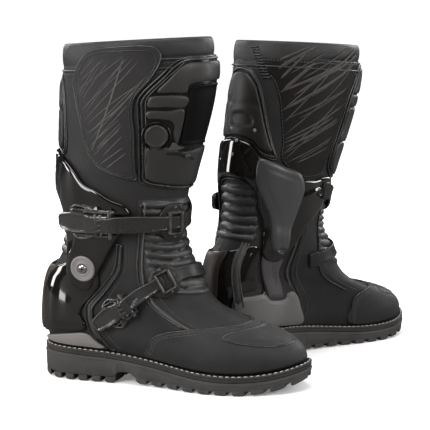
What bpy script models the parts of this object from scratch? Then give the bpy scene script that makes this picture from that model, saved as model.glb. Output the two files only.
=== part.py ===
"""A pair of buckled adventure-touring riding boots, one right and one left.

Each boot is built in its own frame, in millimetres while it is being worked
out: X runs from the back of the heel to the toe, Z is up, the sole stands on
Z = 0 and +Y is the outer (lateral) side.  The outside of the leather is one
lofted surface.  Every panel, strap and buckle is laid on that surface at its
own height above it, so neighbouring pieces keep a clear gap.  The left boot
is the mirror image of the right one, with its shaft leaning further forward
about the ankle pivots.
"""
import math
import bpy
import bmesh
import numpy as np
from mathutils import Matrix, Vector
from mathutils.geometry import delaunay_2d_cdt

# ---------------------------------------------------------------- dimensions
MM = 0.001
# Stations of the lofted outside: share of the way up, back edge x and z,
# front edge x and z, half width, share of the foot outline in the section.
STATIONS = [
    (0.00, 6, 36, 294, 32, 46, 1.00),
    (0.06, 2, 52, 291, 41, 50, 1.00),
    (0.12, 1, 69, 282, 50, 50, 0.97),
    (0.18, 2, 86, 263, 58, 48.5, 0.90),
    (0.24, 4, 101, 236, 67, 46.5, 0.80),
    (0.30, 8, 114, 207, 79, 45.5, 0.62),
    (0.36, 15, 126, 186, 99, 45.5, 0.45),
    (0.42, 22, 140, 172, 127, 46, 0.28),
    (0.48, 26, 157, 163, 151, 46, 0.14),
    (0.55, 25, 179, 162, 179, 47.5, 0.05),
    (0.63, 21, 206, 166, 209, 50, 0.0),
    (0.72, 22, 239, 175, 244, 53.5, 0.0),
    (0.82, 24, 279, 187, 286, 57.5, 0.0),
    (0.91, 26, 321, 194, 328, 61, 0.0),
    (1.00, 27, 361, 191, 370, 62, 0.0),
]
# Half widths of the foot outline by the angle round from the heel.
OUTER_OUTLINE = [(0, 0), (20, 25), (42.5, 38), (70, 38), (90, 44), (110, 56),
                 (130, 53), (150, 36.5), (165, 19), (180, 0)]
INNER_OUTLINE = [(0, 0), (20, 24), (42.5, 36), (68, 31.5), (86, 33), (108, 48),
                 (124, 52.5), (140, 47), (155, 32), (168, 15.5), (180, 0)]
OUTLINE_HALF_WIDTH = 56.0
TOE_SHIFT = 8.0                 # the toe leans to the inner side by this much
# Height of the welt along the foot.
WELT_LINE = [(0, 36.5), (30, 35.5), (70, 34), (110, 31), (150, 26), (190, 21.5),
             (225, 20), (255, 21.5), (280, 25.5), (300, 31), (310, 34)]
# Height of the tread along the foot.
TREAD_LINE = [(-8, 6), (12, 1.2), (26, 0), (92, 0), (97, 6), (112, 6.5), (122, 2),
              (200, 0), (238, 0), (265, 3.2), (288, 9), (306, 17)]
SOLE_OVERHANG = 5.0             # the sole stands out past the upper
OUTSOLE_DROP = 6.0              # top of the outsole below the welt line
LUG_DEPTH = 6.0
LUG_PITCH = 15.5
LUG_GAP = 6.0

# Heights above the lofted outside, inner and outer face of each layer.
SLEEVE = (-8.8, -6.3)
LEATHER = (-3.9, -1.2)
PANEL = (0.3, 2.3)
BRACE = (3.1, 5.3)
PIVOT_HEAD = (5.5, 7.5)

ANKLE_OUTER = (62.0, 125.5)     # x and z of the outer ankle pivot
ANKLE_INNER = (65.0, 134.0)     # the inner one sits a little higher
PIVOT_RADIUS = 12.5
PIVOT_HOLE = 3.6
PIVOT_SHANK = 3.0

# Where each boot stands: turn about Z (degrees), x, y (mm), shaft lean (degrees)
RIGHT = dict(side="R", lat=-1.0, turn=-18.2, x=-207.2, y=-55.8, lean=0.0)
LEFT = dict(side="L", lat=1.0, turn=42.0, x=-26.9, y=-31.5, lean=6.5)

COLOURS = {
    "leather": ((0.052, 0.047, 0.046), 0.55, 0.0),
    "rubber": ((0.050, 0.047, 0.046), 0.70, 0.0),
    "gloss": ((0.020, 0.017, 0.016), 0.18, 0.0),
    "matt": ((0.030, 0.026, 0.025), 0.45, 0.0),
    "grey": ((0.150, 0.142, 0.135), 0.50, 0.0),
    "metal": ((0.45, 0.44, 0.43), 0.30, 1.0),
    "buckle": ((0.060, 0.056, 0.055), 0.30, 0.2),
    "lining": ((0.035, 0.034, 0.034), 0.85, 0.0),
}

# --------------------------------------------------------------- clean scene
for old in list(bpy.data.objects):
    bpy.data.objects.remove(old, do_unlink=True)
scene = bpy.context.scene
parts = bpy.data.collections.new("riding_boots")
cutters = bpy.data.collections.new("cutters")
cutters.hide_render = True
scene.collection.children.link(parts)
scene.collection.children.link(cutters)

materials = {}
for key, (rgb, rough, metallic) in COLOURS.items():
    mat = bpy.data.materials.new(key)
    mat.use_nodes = True
    shader = mat.node_tree.nodes["Principled BSDF"]
    shader.inputs["Base Color"].default_value = (*rgb, 1.0)
    shader.inputs["Roughness"].default_value = rough
    shader.inputs["Metallic"].default_value = metallic
    mat.diffuse_color = (*rgb, 1.0)
    materials[key] = mat


# ------------------------------------------------------------------ the loft
def natural_spline(xs, ys, x):
    """Natural cubic through the points, read at x."""
    xs, ys, x = (np.asarray(v, float) for v in (xs, ys, x))
    n, h = len(xs), np.diff(xs)
    a, r = np.zeros((n, n)), np.zeros(n)
    a[0, 0] = a[-1, -1] = 1.0
    for i in range(1, n - 1):
        a[i, i - 1:i + 2] = h[i - 1], 2 * (h[i - 1] + h[i]), h[i]
        r[i] = 3 * ((ys[i + 1] - ys[i]) / h[i] - (ys[i] - ys[i - 1]) / h[i - 1])
    c = np.linalg.solve(a, r)
    i = np.clip(np.searchsorted(xs, x, side="right") - 1, 0, n - 2)
    b = (ys[i + 1] - ys[i]) / h[i] - h[i] * (2 * c[i] + c[i + 1]) / 3
    t = x - xs[i]
    return ys[i] + b * t + c[i] * t * t + (c[i + 1] - c[i]) / (3 * h[i]) * t ** 3


def outline_half(angle, table):
    a = [math.radians(p[0]) for p in table]
    w = [p[1] / OUTLINE_HALF_WIDTH for p in table]
    xs = [-v for v in a[:0:-1]] + a + [2 * math.pi - v for v in a[-2::-1]]
    ys = [-v for v in w[:0:-1]] + w + [-v for v in w[-2::-1]]
    return natural_spline(xs, ys, angle)


def along(table, x):
    return natural_spline([p[0] for p in table], [p[1] for p in table], x)


def loft(t, theta, lean=0.0):
    """Points of the outside at share t and angle theta (radians, 0 at the
    front, pi at the back, positive on the outer side)."""
    t, theta = np.broadcast_arrays(np.asarray(t, float), np.asarray(theta, float))
    theta = (theta + math.pi) % (2 * math.pi) - math.pi
    k = np.array(STATIONS, float)
    bx, bz, fx, fz, w, m = (natural_spline(k[:, 0], k[:, i], t) for i in range(1, 7))
    m = np.clip(m, 0, 1)
    a = math.pi - np.abs(theta)
    s = (1 - np.cos(a)) / 2
    half = np.where(theta >= 0, outline_half(a, OUTER_OUTLINE), outline_half(a, INNER_OUTLINE))
    y = np.sign(theta) * w * ((1 - m) * np.sin(a) + 1.04 * m * half)
    q = np.clip((s - 0.6) / 0.4, 0, 1)
    y = y - TOE_SHIFT * m * q * q * (3 - 2 * q)
    x = bx + (fx - bx) * s
    z = bz + (fz - bz) * s
    fade = np.clip(1 - t / 0.34, 0, 1) ** 1.5
    z = z + fade * (along(WELT_LINE, 9 + 288 * s) - (36 - 5 * s))
    if lean:
        px, pz = ANKLE_OUTER
        f = np.clip((z - 100 - 0.35 * (x - px)) / 60, 0, 1)
        f = f * f * (3 - 2 * f) * lean
        dx, dz = x - px, z - pz
        x, z = px + dx * np.cos(f) + dz * np.sin(f), pz - dx * np.sin(f) + dz * np.cos(f)
    return np.stack([x, y, z], -1)


def skin(t, theta, height, lean=0.0):
    """Points at a height above the outside, and the outward normals."""
    t, theta = np.broadcast_arrays(np.asarray(t, float), np.asarray(theta, float))
    e = 2e-3
    p = loft(t, theta, lean)
    dt = loft(np.clip(t + e, 0, 1), theta, lean) - loft(np.clip(t - e, 0, 1), theta, lean)
    dh = loft(t, theta + 4 * e, lean) - loft(t, theta - 4 * e, lean)
    n = np.cross(dh, dt)
    n /= np.linalg.norm(n, axis=-1, keepdims=True) + 1e-12
    return p + n * np.asarray(height, float)[..., None], n


def deg(v):
    return np.radians(np.asarray(v, float))


# ------------------------------------------------------------ mesh utilities
class Boot:
    """Places points given in the boot's own frame, with y positive outwards."""

    def __init__(self, side, lat, turn, x, y, lean):
        self.side, self.lat, self.lean = side, lat, math.radians(lean)
        self.frame = (Matrix.Translation((x * MM, y * MM, 0.0))
                      @ Matrix.Rotation(math.radians(turn), 4, "Z"))
        self.root = bpy.data.objects.new("boot_" + side, None)
        self.root.matrix_world = self.frame
        parts.objects.link(self.root)
        self.ankle = self.joint_empty("ankle_pivot_" + side, self.ankle_points()[0])

    def ankle_points(self):
        """Outer and inner pivot points, boot frame, on the lofted outside."""
        out = []
        for (px, pz), sign in ((ANKLE_OUTER, 1), (ANKLE_INNER, -1)):
            th, t = self.at_side(px, pz, sign)
            out.append(loft(t, th, self.lean))
        return out

    def at_side(self, x, z, sign):
        """Angle and share of the point of the loft at x, z on one side."""
        ts = np.linspace(0.02, 0.98, 193)
        th = np.linspace(0.02, math.pi - 0.02, 181) * sign
        tt, hh = np.meshgrid(ts, th, indexing="ij")
        p = loft(tt, hh, self.lean)
        k = np.unravel_index(np.argmin((p[..., 0] - x) ** 2 + (p[..., 2] - z) ** 2), tt.shape)
        return float(hh[k]), float(tt[k])

    def joint_empty(self, name, point):
        empty = bpy.data.objects.new(name, None)
        empty.empty_display_size = 0.02
        p = self.local(np.asarray(point))
        empty.matrix_world = self.frame @ Matrix.Translation(Vector(p))
        parts.objects.link(empty)
        return empty

    def local(self, p):
        """Boot frame in mm, y outwards, to the boot frame in metres."""
        p = np.asarray(p, float) * MM
        return p * np.array([1.0, self.lat, 1.0])

    def add(self, name, points, faces, material, parent=None, smooth=True, link=parts):
        """An object from points and faces; its origin is on its parent empty."""
        p = self.local(points)
        parent = parent or self.root
        base = self.frame.inverted() @ parent.matrix_world
        p = np.array([base.inverted() @ Vector(v) for v in p])
        mesh = bpy.data.meshes.new(name)
        mesh.from_pydata([tuple(v) for v in p], [], [tuple(f) for f in faces])
        mesh.update()
        obj = bpy.data.objects.new(name, mesh)
        link.objects.link(obj)
        obj.matrix_world = parent.matrix_world
        obj.parent = parent
        obj.matrix_parent_inverse = parent.matrix_world.inverted()
        mesh.materials.append(materials[material])
        if smooth:
            mesh.shade_smooth()
            mesh.set_sharp_from_angle(angle=math.radians(35))
        return obj


def closed_out(obj):
    """Turns a closed mesh's faces outwards."""
    bm = bmesh.new()
    bm.from_mesh(obj.data)
    bmesh.ops.recalc_face_normals(bm, faces=bm.faces)
    bm.to_mesh(obj.data)
    bm.free()
    return obj


def face_out(obj, boot, outward):
    """Turns an open surface so that its normals follow the outward vectors."""
    mesh = obj.data
    total = 0.0
    for poly in mesh.polygons:
        mean = sum((Vector(outward[i]) for i in poly.vertices), Vector())
        mean.y *= boot.lat
        total += poly.normal.dot(mean)
    if total < 0:
        mesh.flip_normals()
    return obj


def thicken(obj, thickness):
    mod = obj.modifiers.new("thickness", "SOLIDIFY")
    mod.thickness = thickness * MM
    mod.offset = 1.0
    mod.use_rim = True
    return obj


def round_outline(points, step, scale):
    """A closed smooth curve through the corner points, evenly resampled."""
    p = np.array(points, float) * scale
    n = len(p)
    out = []
    for i in range(n):
        p0, p1, p2, p3 = p[i - 1], p[i], p[(i + 1) % n], p[(i + 2) % n]
        for u in np.linspace(0, 1, 8, endpoint=False):
            out.append(0.5 * ((2 * p1) + (p2 - p0) * u + (2 * p0 - 5 * p1 + 4 * p2 - p3) * u * u
                              + (3 * p1 - p0 - 3 * p2 + p3) * u ** 3))
    out = np.array(out + [out[0]])
    s = np.concatenate([[0], np.cumsum(np.linalg.norm(np.diff(out, axis=0), axis=1))])
    m = max(8, int(round(s[-1] / step)))
    q = np.linspace(0, s[-1], m, endpoint=False)
    return np.stack([np.interp(q, s, out[:, 0]), np.interp(q, s, out[:, 1])], -1)


# One degree round the boot and one unit of share, in mm, near enough for
# spacing the points of a patch.
PATCH_SCALE = np.array([0.95, 340.0])


def patch(boot, name, outline, layer, material, parent=None, step=11.0, inner=15.0):
    """A panel: an outline of (angle in degrees, share), filled, laid on the
    outside at the layer's inner face and thickened to its outer face."""
    edge = round_outline(outline, step, PATCH_SCALE)
    lo, hi = edge.min(0), edge.max(0)
    inside = []
    nx, ny = int((hi[0] - lo[0]) / inner), int((hi[1] - lo[1]) / inner)
    for i in range(1, nx + 1):
        for j in range(1, ny + 1):
            q = lo + (hi - lo) * np.array([i / (nx + 1), j / (ny + 1)])
            if within(q, edge) and np.min(np.linalg.norm(edge - q, axis=1)) > 0.55 * inner:
                inside.append(q)
    verts = [Vector(v) for v in edge] + [Vector(v) for v in inside]
    ring = [(i, (i + 1) % len(edge)) for i in range(len(edge))]
    v2, _, faces, *_ = delaunay_2d_cdt(verts, ring, [], 1, 1e-6)
    uv = np.array([tuple(v) for v in v2]) / PATCH_SCALE
    p, n = skin(uv[:, 1], deg(uv[:, 0]), np.full(len(uv), layer[0]), boot.lean)
    obj = boot.add(name, p, faces, material, parent)
    face_out(obj, boot, n)
    return thicken(obj, layer[1] - layer[0])


def within(q, poly):
    x, y = q
    a, b = poly, np.roll(poly, -1, axis=0)
    cross = (a[:, 1] > y) != (b[:, 1] > y)
    with np.errstate(divide="ignore", invalid="ignore"):
        xi = a[:, 0] + (y - a[:, 1]) * (b[:, 0] - a[:, 0]) / (b[:, 1] - a[:, 1])
    return bool(np.count_nonzero(cross & (x < xi)) % 2)


def tube(boot, name, rows, columns, layer, material, parent=None):
    """A shell all the way round.  rows(theta) gives its lowest and highest
    share at each angle and the number of rows."""
    th = np.linspace(-math.pi, math.pi, columns, endpoint=False)
    lo, hi, count = rows(th)
    f = np.linspace(0, 1, count)[:, None]
    tt = lo[None] * (1 - f) + hi[None] * f
    hh = np.broadcast_to(th[None], tt.shape)
    p, n = skin(tt, hh, np.full(tt.shape, layer[0]), boot.lean)
    faces = [(r * columns + c, r * columns + (c + 1) % columns,
              (r + 1) * columns + (c + 1) % columns, (r + 1) * columns + c)
             for r in range(count - 1) for c in range(columns)]
    obj = boot.add(name, p.reshape(-1, 3), faces, material, parent)
    face_out(obj, boot, n.reshape(-1, 3))
    return thicken(obj, layer[1] - layer[0])


def sweep(boot, name, path, section, material, parent=None, stations=9):
    """A rigid strap or buckle body: a section swept along a line on the boot.

    path: (angle in degrees, share, height) corner points, read as a smooth
    line.  section(u) gives the closed section at share u of the length, as
    (across, outward) pairs in mm."""
    c = np.array(path, float)
    q = np.concatenate([[0], np.cumsum(np.linalg.norm(
        np.diff(c[:, :2] * PATCH_SCALE, axis=0), axis=1))])
    q /= q[-1]
    u = np.linspace(0, 1, stations)
    th, t, h = (np.interp(u, q, c[:, i]) for i in range(3))
    if len(c) > 3:
        th, t, h = (natural_spline(q, c[:, i], u) for i in range(3))
        h = np.interp(u, q, c[:, 2])
    p, n = skin(t, deg(th), h, boot.lean)
    d = np.gradient(p, axis=0)
    d /= np.linalg.norm(d, axis=1, keepdims=True)
    n = n - d * (n * d).sum(1, keepdims=True)
    n /= np.linalg.norm(n, axis=1, keepdims=True)
    w = np.cross(n, d)
    rings = [p[i] + np.outer([a for a, _ in section(u[i])], w[i])
             + np.outer([b for _, b in section(u[i])], n[i]) for i in range(stations)]
    k = len(rings[0])
    faces = [(i * k + j, i * k + (j + 1) % k, (i + 1) * k + (j + 1) % k, (i + 1) * k + j)
             for i in range(stations - 1) for j in range(k)]
    faces += [tuple(range(k)), tuple((stations - 1) * k + j for j in range(k))[::-1]]
    obj = boot.add(name, np.concatenate(rings), faces, material, parent)
    return closed_out(obj), (p, n, d, w)


def bar(half, low, high, edge=0.8):
    """A flat bar's section with its corners taken off."""
    return [(-half, low), (half, low), (half, high - edge), (half - edge, high),
            (-half + edge, high), (-half, high - edge)]


def channel(half, low, floor, top, wall):
    """A channel's section: a floor between two cheeks."""
    return [(-half, low), (half, low), (half, top), (half - wall, top),
            (half - wall, floor), (-half + wall, floor), (-half + wall, top), (-half, top)]


def turned(boot, name, point, axis, profile, material, parent, steps=14):
    """A turned piece: a profile of (radius, height) along an axis, with a
    Screw modifier."""
    mesh = bpy.data.meshes.new(name)
    mesh.from_pydata([(r * MM, 0.0, h * MM) for r, h in profile], [],
                     [(i, i + 1) for i in range(len(profile) - 1)])
    obj = bpy.data.objects.new(name, mesh)
    parts.objects.link(obj)
    mesh.materials.append(materials[material])
    spot = boot.frame @ Vector(boot.local(point))
    v = Vector(np.asarray(axis) * np.array([1.0, boot.lat, 1.0]))
    v = (boot.frame.to_3x3() @ v).normalized()
    obj.matrix_world = Matrix.Translation(spot) @ v.to_track_quat("Z", "Y").to_matrix().to_4x4()
    world = obj.matrix_world.copy()
    obj.parent = parent
    obj.matrix_parent_inverse = parent.matrix_world.inverted()
    obj.matrix_world = world
    screw = obj.modifiers.new("turn", "SCREW")
    screw.steps = screw.render_steps = steps
    screw.use_merge_vertices = True
    screw.merge_threshold = 0.00001
    screw.use_smooth_shade = True
    screw.use_normal_flip = True
    return obj


def pin_cutter(boot, name, point, axis, radius, reach):
    """A round cutter along an axis."""
    spot = boot.frame @ Vector(boot.local(point))
    v = Vector(np.asarray(axis) * np.array([1.0, boot.lat, 1.0]))
    v = (boot.frame.to_3x3() @ v).normalized()
    mesh = bpy.data.meshes.new(name)
    bm = bmesh.new()
    bmesh.ops.create_cone(bm, cap_ends=True, segments=16, radius1=radius * MM,
                          radius2=radius * MM, depth=reach * MM)
    bm.to_mesh(mesh)
    bm.free()
    obj = bpy.data.objects.new(name, mesh)
    cutters.objects.link(obj)
    obj.hide_render = True
    obj.display_type = "WIRE"
    obj.matrix_world = Matrix.Translation(spot) @ v.to_track_quat("Z", "Y").to_matrix().to_4x4()
    return obj


def cut(obj, cutter):
    mod = obj.modifiers.new("cut_" + cutter.name, "BOOLEAN")
    mod.operation = "DIFFERENCE"
    mod.solver = "EXACT"
    mod.object = cutter
    return obj


# ----------------------------------------------------------------- the sole
def foot_ring(boot, grow, columns=44):
    """The outline of the foot at the welt, grown outwards, boot frame."""
    th = np.linspace(-math.pi, math.pi, columns, endpoint=False)
    p = loft(np.zeros_like(th), th, boot.lean)[:, :2]
    d = np.roll(p, -1, axis=0) - np.roll(p, 1, axis=0)
    n = np.stack([d[:, 1], -d[:, 0]], -1)
    n /= np.linalg.norm(n, axis=1, keepdims=True)
    if ((p - p.mean(0)) * n).sum() < 0:
        n = -n
    return p + grow * n


def plate(boot, name, grow_low, grow_high, low, high, material, smooth=True, columns=44):
    """A layer of the sole between two heights given along the foot."""
    a, b = foot_ring(boot, grow_low, columns), foot_ring(boot, grow_high, columns)
    pa = np.column_stack([a, low(a[:, 0])])
    pb = np.column_stack([b, high(b[:, 0])])
    ca, cb = a.mean(0), b.mean(0)
    # a spine of points down the middle keeps both faces true to their lines
    xs = np.linspace(a[:, 0].min() + 14, a[:, 0].max() - 14, 14)
    pts = list(pa) + list(pb)
    faces = [(i, (i + 1) % columns, columns + (i + 1) % columns, columns + i) for i in range(columns)]
    for start, ring, level in ((0, a, low), (columns, b, high)):
        verts = [Vector(v) for v in ring]
        mids = [Vector((x, np.interp(x, [0, 300], [0, -5]))) for x in xs]
        edges = [(i, (i + 1) % columns) for i in range(columns)]
        v2, _, tris, *_ = delaunay_2d_cdt(verts + mids, edges, [], 1, 1e-6)
        index = {i: start + i for i in range(columns)}
        for i in range(columns, len(v2)):
            index[i] = len(pts)
            pts.append(np.array([v2[i][0], v2[i][1], float(level(np.array([v2[i][0]]))[0])]))
        faces += [tuple(index[i] for i in tri) for tri in tris]
    return closed_out(boot.add(name, np.array(pts), faces, material, smooth=smooth))


def sole(boot):
    s = boot.side
    welt = lambda x: along(WELT_LINE, np.clip(x, 0, 305))
    tread = lambda x: np.interp(x, [p[0] for p in TREAD_LINE], [p[1] for p in TREAD_LINE])
    outsole = plate(boot, "outsole_" + s, SOLE_OVERHANG - 1.5, SOLE_OVERHANG,
                    tread, lambda x: welt(x) - OUTSOLE_DROP, "rubber", smooth=False)
    # transverse grooves between the lugs
    mesh = bpy.data.meshes.new("tread_cutter_" + s)
    bm = bmesh.new()
    spots = [x for x in np.arange(18.0, 88.0, LUG_PITCH)]
    spots += [x for x in np.arange(134.0, 290.0, LUG_PITCH + 3.0)]
    for x in spots:
        z = float(tread(np.array([x]))[0])
        made = bmesh.ops.create_cube(bm, size=1.0)["verts"]
        bmesh.ops.scale(bm, vec=(LUG_GAP * MM, 0.16, 2 * LUG_DEPTH * MM), verts=made)
        bmesh.ops.translate(bm, vec=(x * MM, 0.0, (z - 0.4) * MM), verts=made)
    bm.to_mesh(mesh)
    bm.free()
    cutter = bpy.data.objects.new("tread_cutter_" + s, mesh)
    cutter.matrix_world = boot.frame
    cutter.hide_render = True
    cutter.display_type = "WIRE"
    cutters.objects.link(cutter)
    cut(outsole, cutter)
    plate(boot, "midsole_" + s, SOLE_OVERHANG - 0.2, SOLE_OVERHANG - 0.8,
          lambda x: welt(x) - OUTSOLE_DROP + 0.4, lambda x: welt(x) - 1.4, "rubber")
    plate(boot, "footbed_" + s, -7.5, -7.5, lambda x: welt(x) + 1.4, lambda x: welt(x) + 6.0,
          "lining", columns=28)
    # the shank: a steel strip under the arch, between footbed and midsole
    xs = np.linspace(62, 172, 8)
    pts, faces = [], []
    for x in xs:
        for dy, dz in ((-9, -0.8), (9, -0.8), (9, 0.9), (-9, 0.9)):
            pts.append((x, dy - 1.0, float(welt(np.array([x]))[0]) + dz))
    for i in range(len(xs) - 1):
        faces += [(4 * i + j, 4 * i + (j + 1) % 4, 4 * i + 4 + (j + 1) % 4, 4 * i + 4 + j)
                  for j in range(4)]
    faces += [(0, 1, 2, 3), tuple(4 * (len(xs) - 1) + j for j in (3, 2, 1, 0))]
    closed_out(boot.add("shank_" + s, np.array(pts), faces, "metal"))


# ---------------------------------------------------------------- the upper
def blend_edge(theta, values):
    """A share that changes with the angle from the front, smoothly."""
    a = np.degrees(np.abs(theta))
    return np.interp(a, [v[0] for v in values], [v[1] for v in values])


def upper(boot):
    s = boot.side
    tube(boot, "foot_upper_" + s, lambda th: (
        np.zeros_like(th) + 0.004,
        blend_edge(th, [(0, 0.342), (50, 0.342), (62, 0.46), (70, 0.49), (132, 0.49),
                        (140, 0.46), (148, 0.40), (180, 0.40)]), 12),
        34, LEATHER, "leather")
    tube(boot, "ankle_sleeve_" + s, lambda th: (
        blend_edge(th, [(0, 0.325), (54, 0.325), (72, 0.46), (132, 0.46), (148, 0.38), (180, 0.38)]),
        np.zeros_like(th) + 0.64, 6), 24, SLEEVE, "lining")
    tube(boot, "shaft_leather_" + s, lambda th: (
        np.zeros_like(th) + 0.612, np.zeros_like(th) + 0.958, 7),
        30, LEATHER, "leather", boot.ankle)
    tube(boot, "collar_" + s, lambda th: (
        np.zeros_like(th) + 0.962, np.zeros_like(th) + 1.0, 2),
        30, (-7.0, 0.6), "leather", boot.ankle)
    patch(boot, "front_bellows_" + s, [
        (0, .356), (25, .356), (44, .358), (52, .41), (57, .48), (60, .54), (58, .592), (30, .602),
        (0, .602), (-30, .602), (-58, .592), (-60, .54), (-57, .48), (-52, .41), (-44, .358),
        (-25, .356)], LEATHER, "leather")
    patch(boot, "rear_bellows_" + s, [
        (152, .410), (166, .408), (180, .408), (194, .408), (208, .410), (216, .47), (217, .54),
        (214, .598), (196, .604), (180, .604), (164, .604), (146, .598), (143, .54), (144, .47)],
        LEATHER, "leather")
    patch(boot, "toe_cap_" + s, [
        (97, .012), (95, .06), (90, .118), (74, .18), (50, .222), (25, .242), (0, .247),
        (-25, .24), (-48, .215), (-66, .165), (-73, .10), (-74, .012), (-45, .012), (-20, .012),
        (0, .012), (20, .012), (45, .012), (72, .012)], (0.2, 1.5), "leather",
        step=11.0, inner=13.0)
    patch(boot, "shift_pad_" + s, [
        (50, .165), (40, .205), (15, .222), (-15, .215), (-36, .185), (-30, .145), (-5, .125),
        (25, .125)], (2.8, 4.6), "rubber", step=10.0)


def heel(boot):
    s = boot.side
    counter = patch(boot, "heel_counter_" + s, [
        (126, .09), (127, .16), (121, .215), (113, .27), (106, .33), (107, .39), (118, .415),
        (132, .40), (145, .365), (160, .345), (180, .345), (196, .36), (210, .385), (224, .40),
        (229, .36), (228, .28), (228, .20), (216, .18), (204, .155), (192, .10), (180, .058),
        (165, .052), (145, .068)], PANEL, "gloss",
        step=9.0, inner=13.0)
    cup = patch(boot, "heel_cup_" + s, [
        (116, .012), (117, .035), (123, .062), (135, .052), (150, .038), (165, .025), (180, .028),
        (193, .060), (206, .128), (219, .155), (230, .168), (234, .25), (233, .33), (233, .40),
        (238, .445), (247, .445), (253, .40), (254, .33), (254, .25), (257, .19), (259, .14),
        (258, .07), (257, .012), (235, .012), (210, .012), (180, .010), (150, .012), (130, .012)],
        PANEL, "grey")
    return counter, cup


def shaft(boot):
    s = boot.side
    brace = patch(boot, "ankle_brace_" + s, [
        (133, .335), (128, .29), (120, .277), (113, .30), (109, .345), (99, .41), (87, .475),
        (77, .52), (70, .565), (75, .595), (87, .612), (100, .638), (112, .655), (124, .692),
        (137, .718), (158, .738), (180, .745), (200, .738), (213, .705), (228, .668), (245, .638),
        (262, .622), (276, .622), (290, .635), (303, .634), (305, .612), (296, .585), (283, .56),
        (270, .52), (262, .46), (256, .40), (248, .368), (240, .358), (233, .375), (229, .42),
        (225, .48), (219, .53), (215, .585), (204, .622), (190, .635), (172, .635), (156, .618),
        (147, .585), (143, .53), (140, .46), (137, .39)], BRACE, "gloss", boot.ankle,
        step=9.0, inner=12.0)
    patch(boot, "ankle_pad_" + s, [
        (214, .690), (227, .688), (243, .672), (259, .655), (267, .61), (264, .53), (259, .47),
        (256, .455), (245, .452), (235, .455), (230, .50), (222, .56), (215, .62)],
        (6.6, 9.4), "grey", boot.ankle)
    patch(boot, "shin_plate_" + s, [
        (0, .953), (22, .953), (41, .951), (58, .915), (72, .873), (72, .842), (69, .79),
        (67, .75), (64, .70), (61, .66), (45, .645), (22, .636), (0, .634), (-22, .636),
        (-45, .645), (-60, .67), (-65, .71), (-64, .79), (-62, .87), (-52, .925), (-38, .951),
        (-20, .953)], PANEL, "matt", boot.ankle)
    patch(boot, "calf_guard_" + s, [
        (146, .755), (145, .78), (147, .82), (151, .865), (158, .903), (168, .921), (182, .926),
        (196, .917), (208, .892), (216, .845), (222, .79), (227, .745), (228, .718), (214, .722),
        (202, .752), (180, .760), (162, .755), (152, .750)],
        (0.5, 3.2), "matt", boot.ankle)
    patch(boot, "heat_guard_" + s, [
        (197, .952), (202, .928), (214, .908), (223, .86), (229, .80), (234, .745), (236, .70),
        (246, .668), (262, .645), (276, .645), (289, .66), (291, .71), (292, .79), (294, .87),
        (300, .925), (310, .952), (285, .953), (255, .953), (225, .953)],
        (-0.1, 1.3), "leather", boot.ankle, step=9.0)
    return brace


def pivots(boot, brace, counter, cup):
    """Round-headed pivot screws on a common axis through both ankle sides."""
    s = boot.side
    outer, inner = boot.ankle_points()
    axis = outer - inner
    axis = axis / np.linalg.norm(axis)
    for tag, point, sign, radius, plate_ in (("outer", outer, 1.0, PIVOT_RADIUS, counter),
                                             ("inner", inner, -1.0, 7.0, cup)):
        v = axis * sign
        # the head lies square to the joint axis, clear of the brace
        gap = 2.0
        low, high = PIVOT_HEAD[0] + gap, PIVOT_HEAD[1] + gap
        profile = [(0.0, high + 1.4), (3.4, high + 1.3), (4.4, high + 0.4), (4.6, high),
                   (radius - 0.8, high), (radius, high - 0.8), (radius, low),
                   (PIVOT_SHANK, low), (PIVOT_SHANK, 0.7), (0.0, 0.7)]
        turned(boot, "pivot_screw_%s_%s" % (tag, s), point, v, profile, "grey", boot.root)
        hole = pin_cutter(boot, "pivot_hole_%s_%s" % (tag, s), point, v, PIVOT_HOLE, 30.0)
        cut(brace, hole)
        cut(plate_, hole)
    return outer, inner, axis


# -------------------------------------------------------------- the buckles
def buckle(boot, tag, path_base, path_lever, path_strap, path_anchor, parent, size):
    """Base, lever, strap and receiver of one over-centre buckle.

    The lever turns in the base about a line across the strap, and the strap
    hangs on the lever a little further back."""
    s = boot.side
    half = size["half"]
    base, _ = sweep(boot, "%s_buckle_base_%s" % (tag, s), path_base,
                    lambda u: channel(half, 0.0, 1.6, size["cheek"] * (0.55 + 0.45 * u), 2.2),
                    "buckle", parent, stations=7)
    p, n, d, w = sweep_frame(boot, path_lever, 9)
    # hinge line of the lever: across its front end
    hinge = p[-1] + n[-1] * 2.4
    lever_empty = boot.joint_empty("%s_lever_axis_%s" % (tag, s), hinge)
    reparent(lever_empty, parent)

    def lever_section(u):
        grow = math.sin(math.pi * min(1.0, 0.25 + 0.75 * u))
        wide = (half - 3.0) * (0.62 + 0.38 * min(1.0, u * 2.2))
        return bar(wide, 0.0, 2.6 + 2.0 * grow, 1.2)
    sweep(boot, "%s_buckle_lever_%s" % (tag, s), path_lever, lever_section, "buckle",
          lever_empty, stations=9)
    q, m, _, _ = sweep_frame(boot, path_strap, 13)
    strap_pin = q[0] + m[0] * 1.1 + (q[1] - q[0]) * 0.3
    strap_empty = boot.joint_empty("%s_strap_axis_%s" % (tag, s), strap_pin)
    reparent(strap_empty, lever_empty)

    def strap_section(u):
        wide = size["strap"] * (1.0 - 0.18 * u)
        return bar(wide, 0.0, 2.2, 0.6)
    sweep(boot, "%s_strap_%s" % (tag, s), path_strap, strap_section, "buckle",
          strap_empty, stations=13)

    def anchor_section(u):
        wide = size["anchor"] * (0.72 + 0.28 * min(1.0, u * 1.5))
        return bar(wide, 0.0, 2.2, 0.6)
    sweep(boot, "%s_receiver_%s" % (tag, s), path_anchor, anchor_section, "leather",
          parent, stations=15)
    return hinge, w[-1], strap_pin


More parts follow.
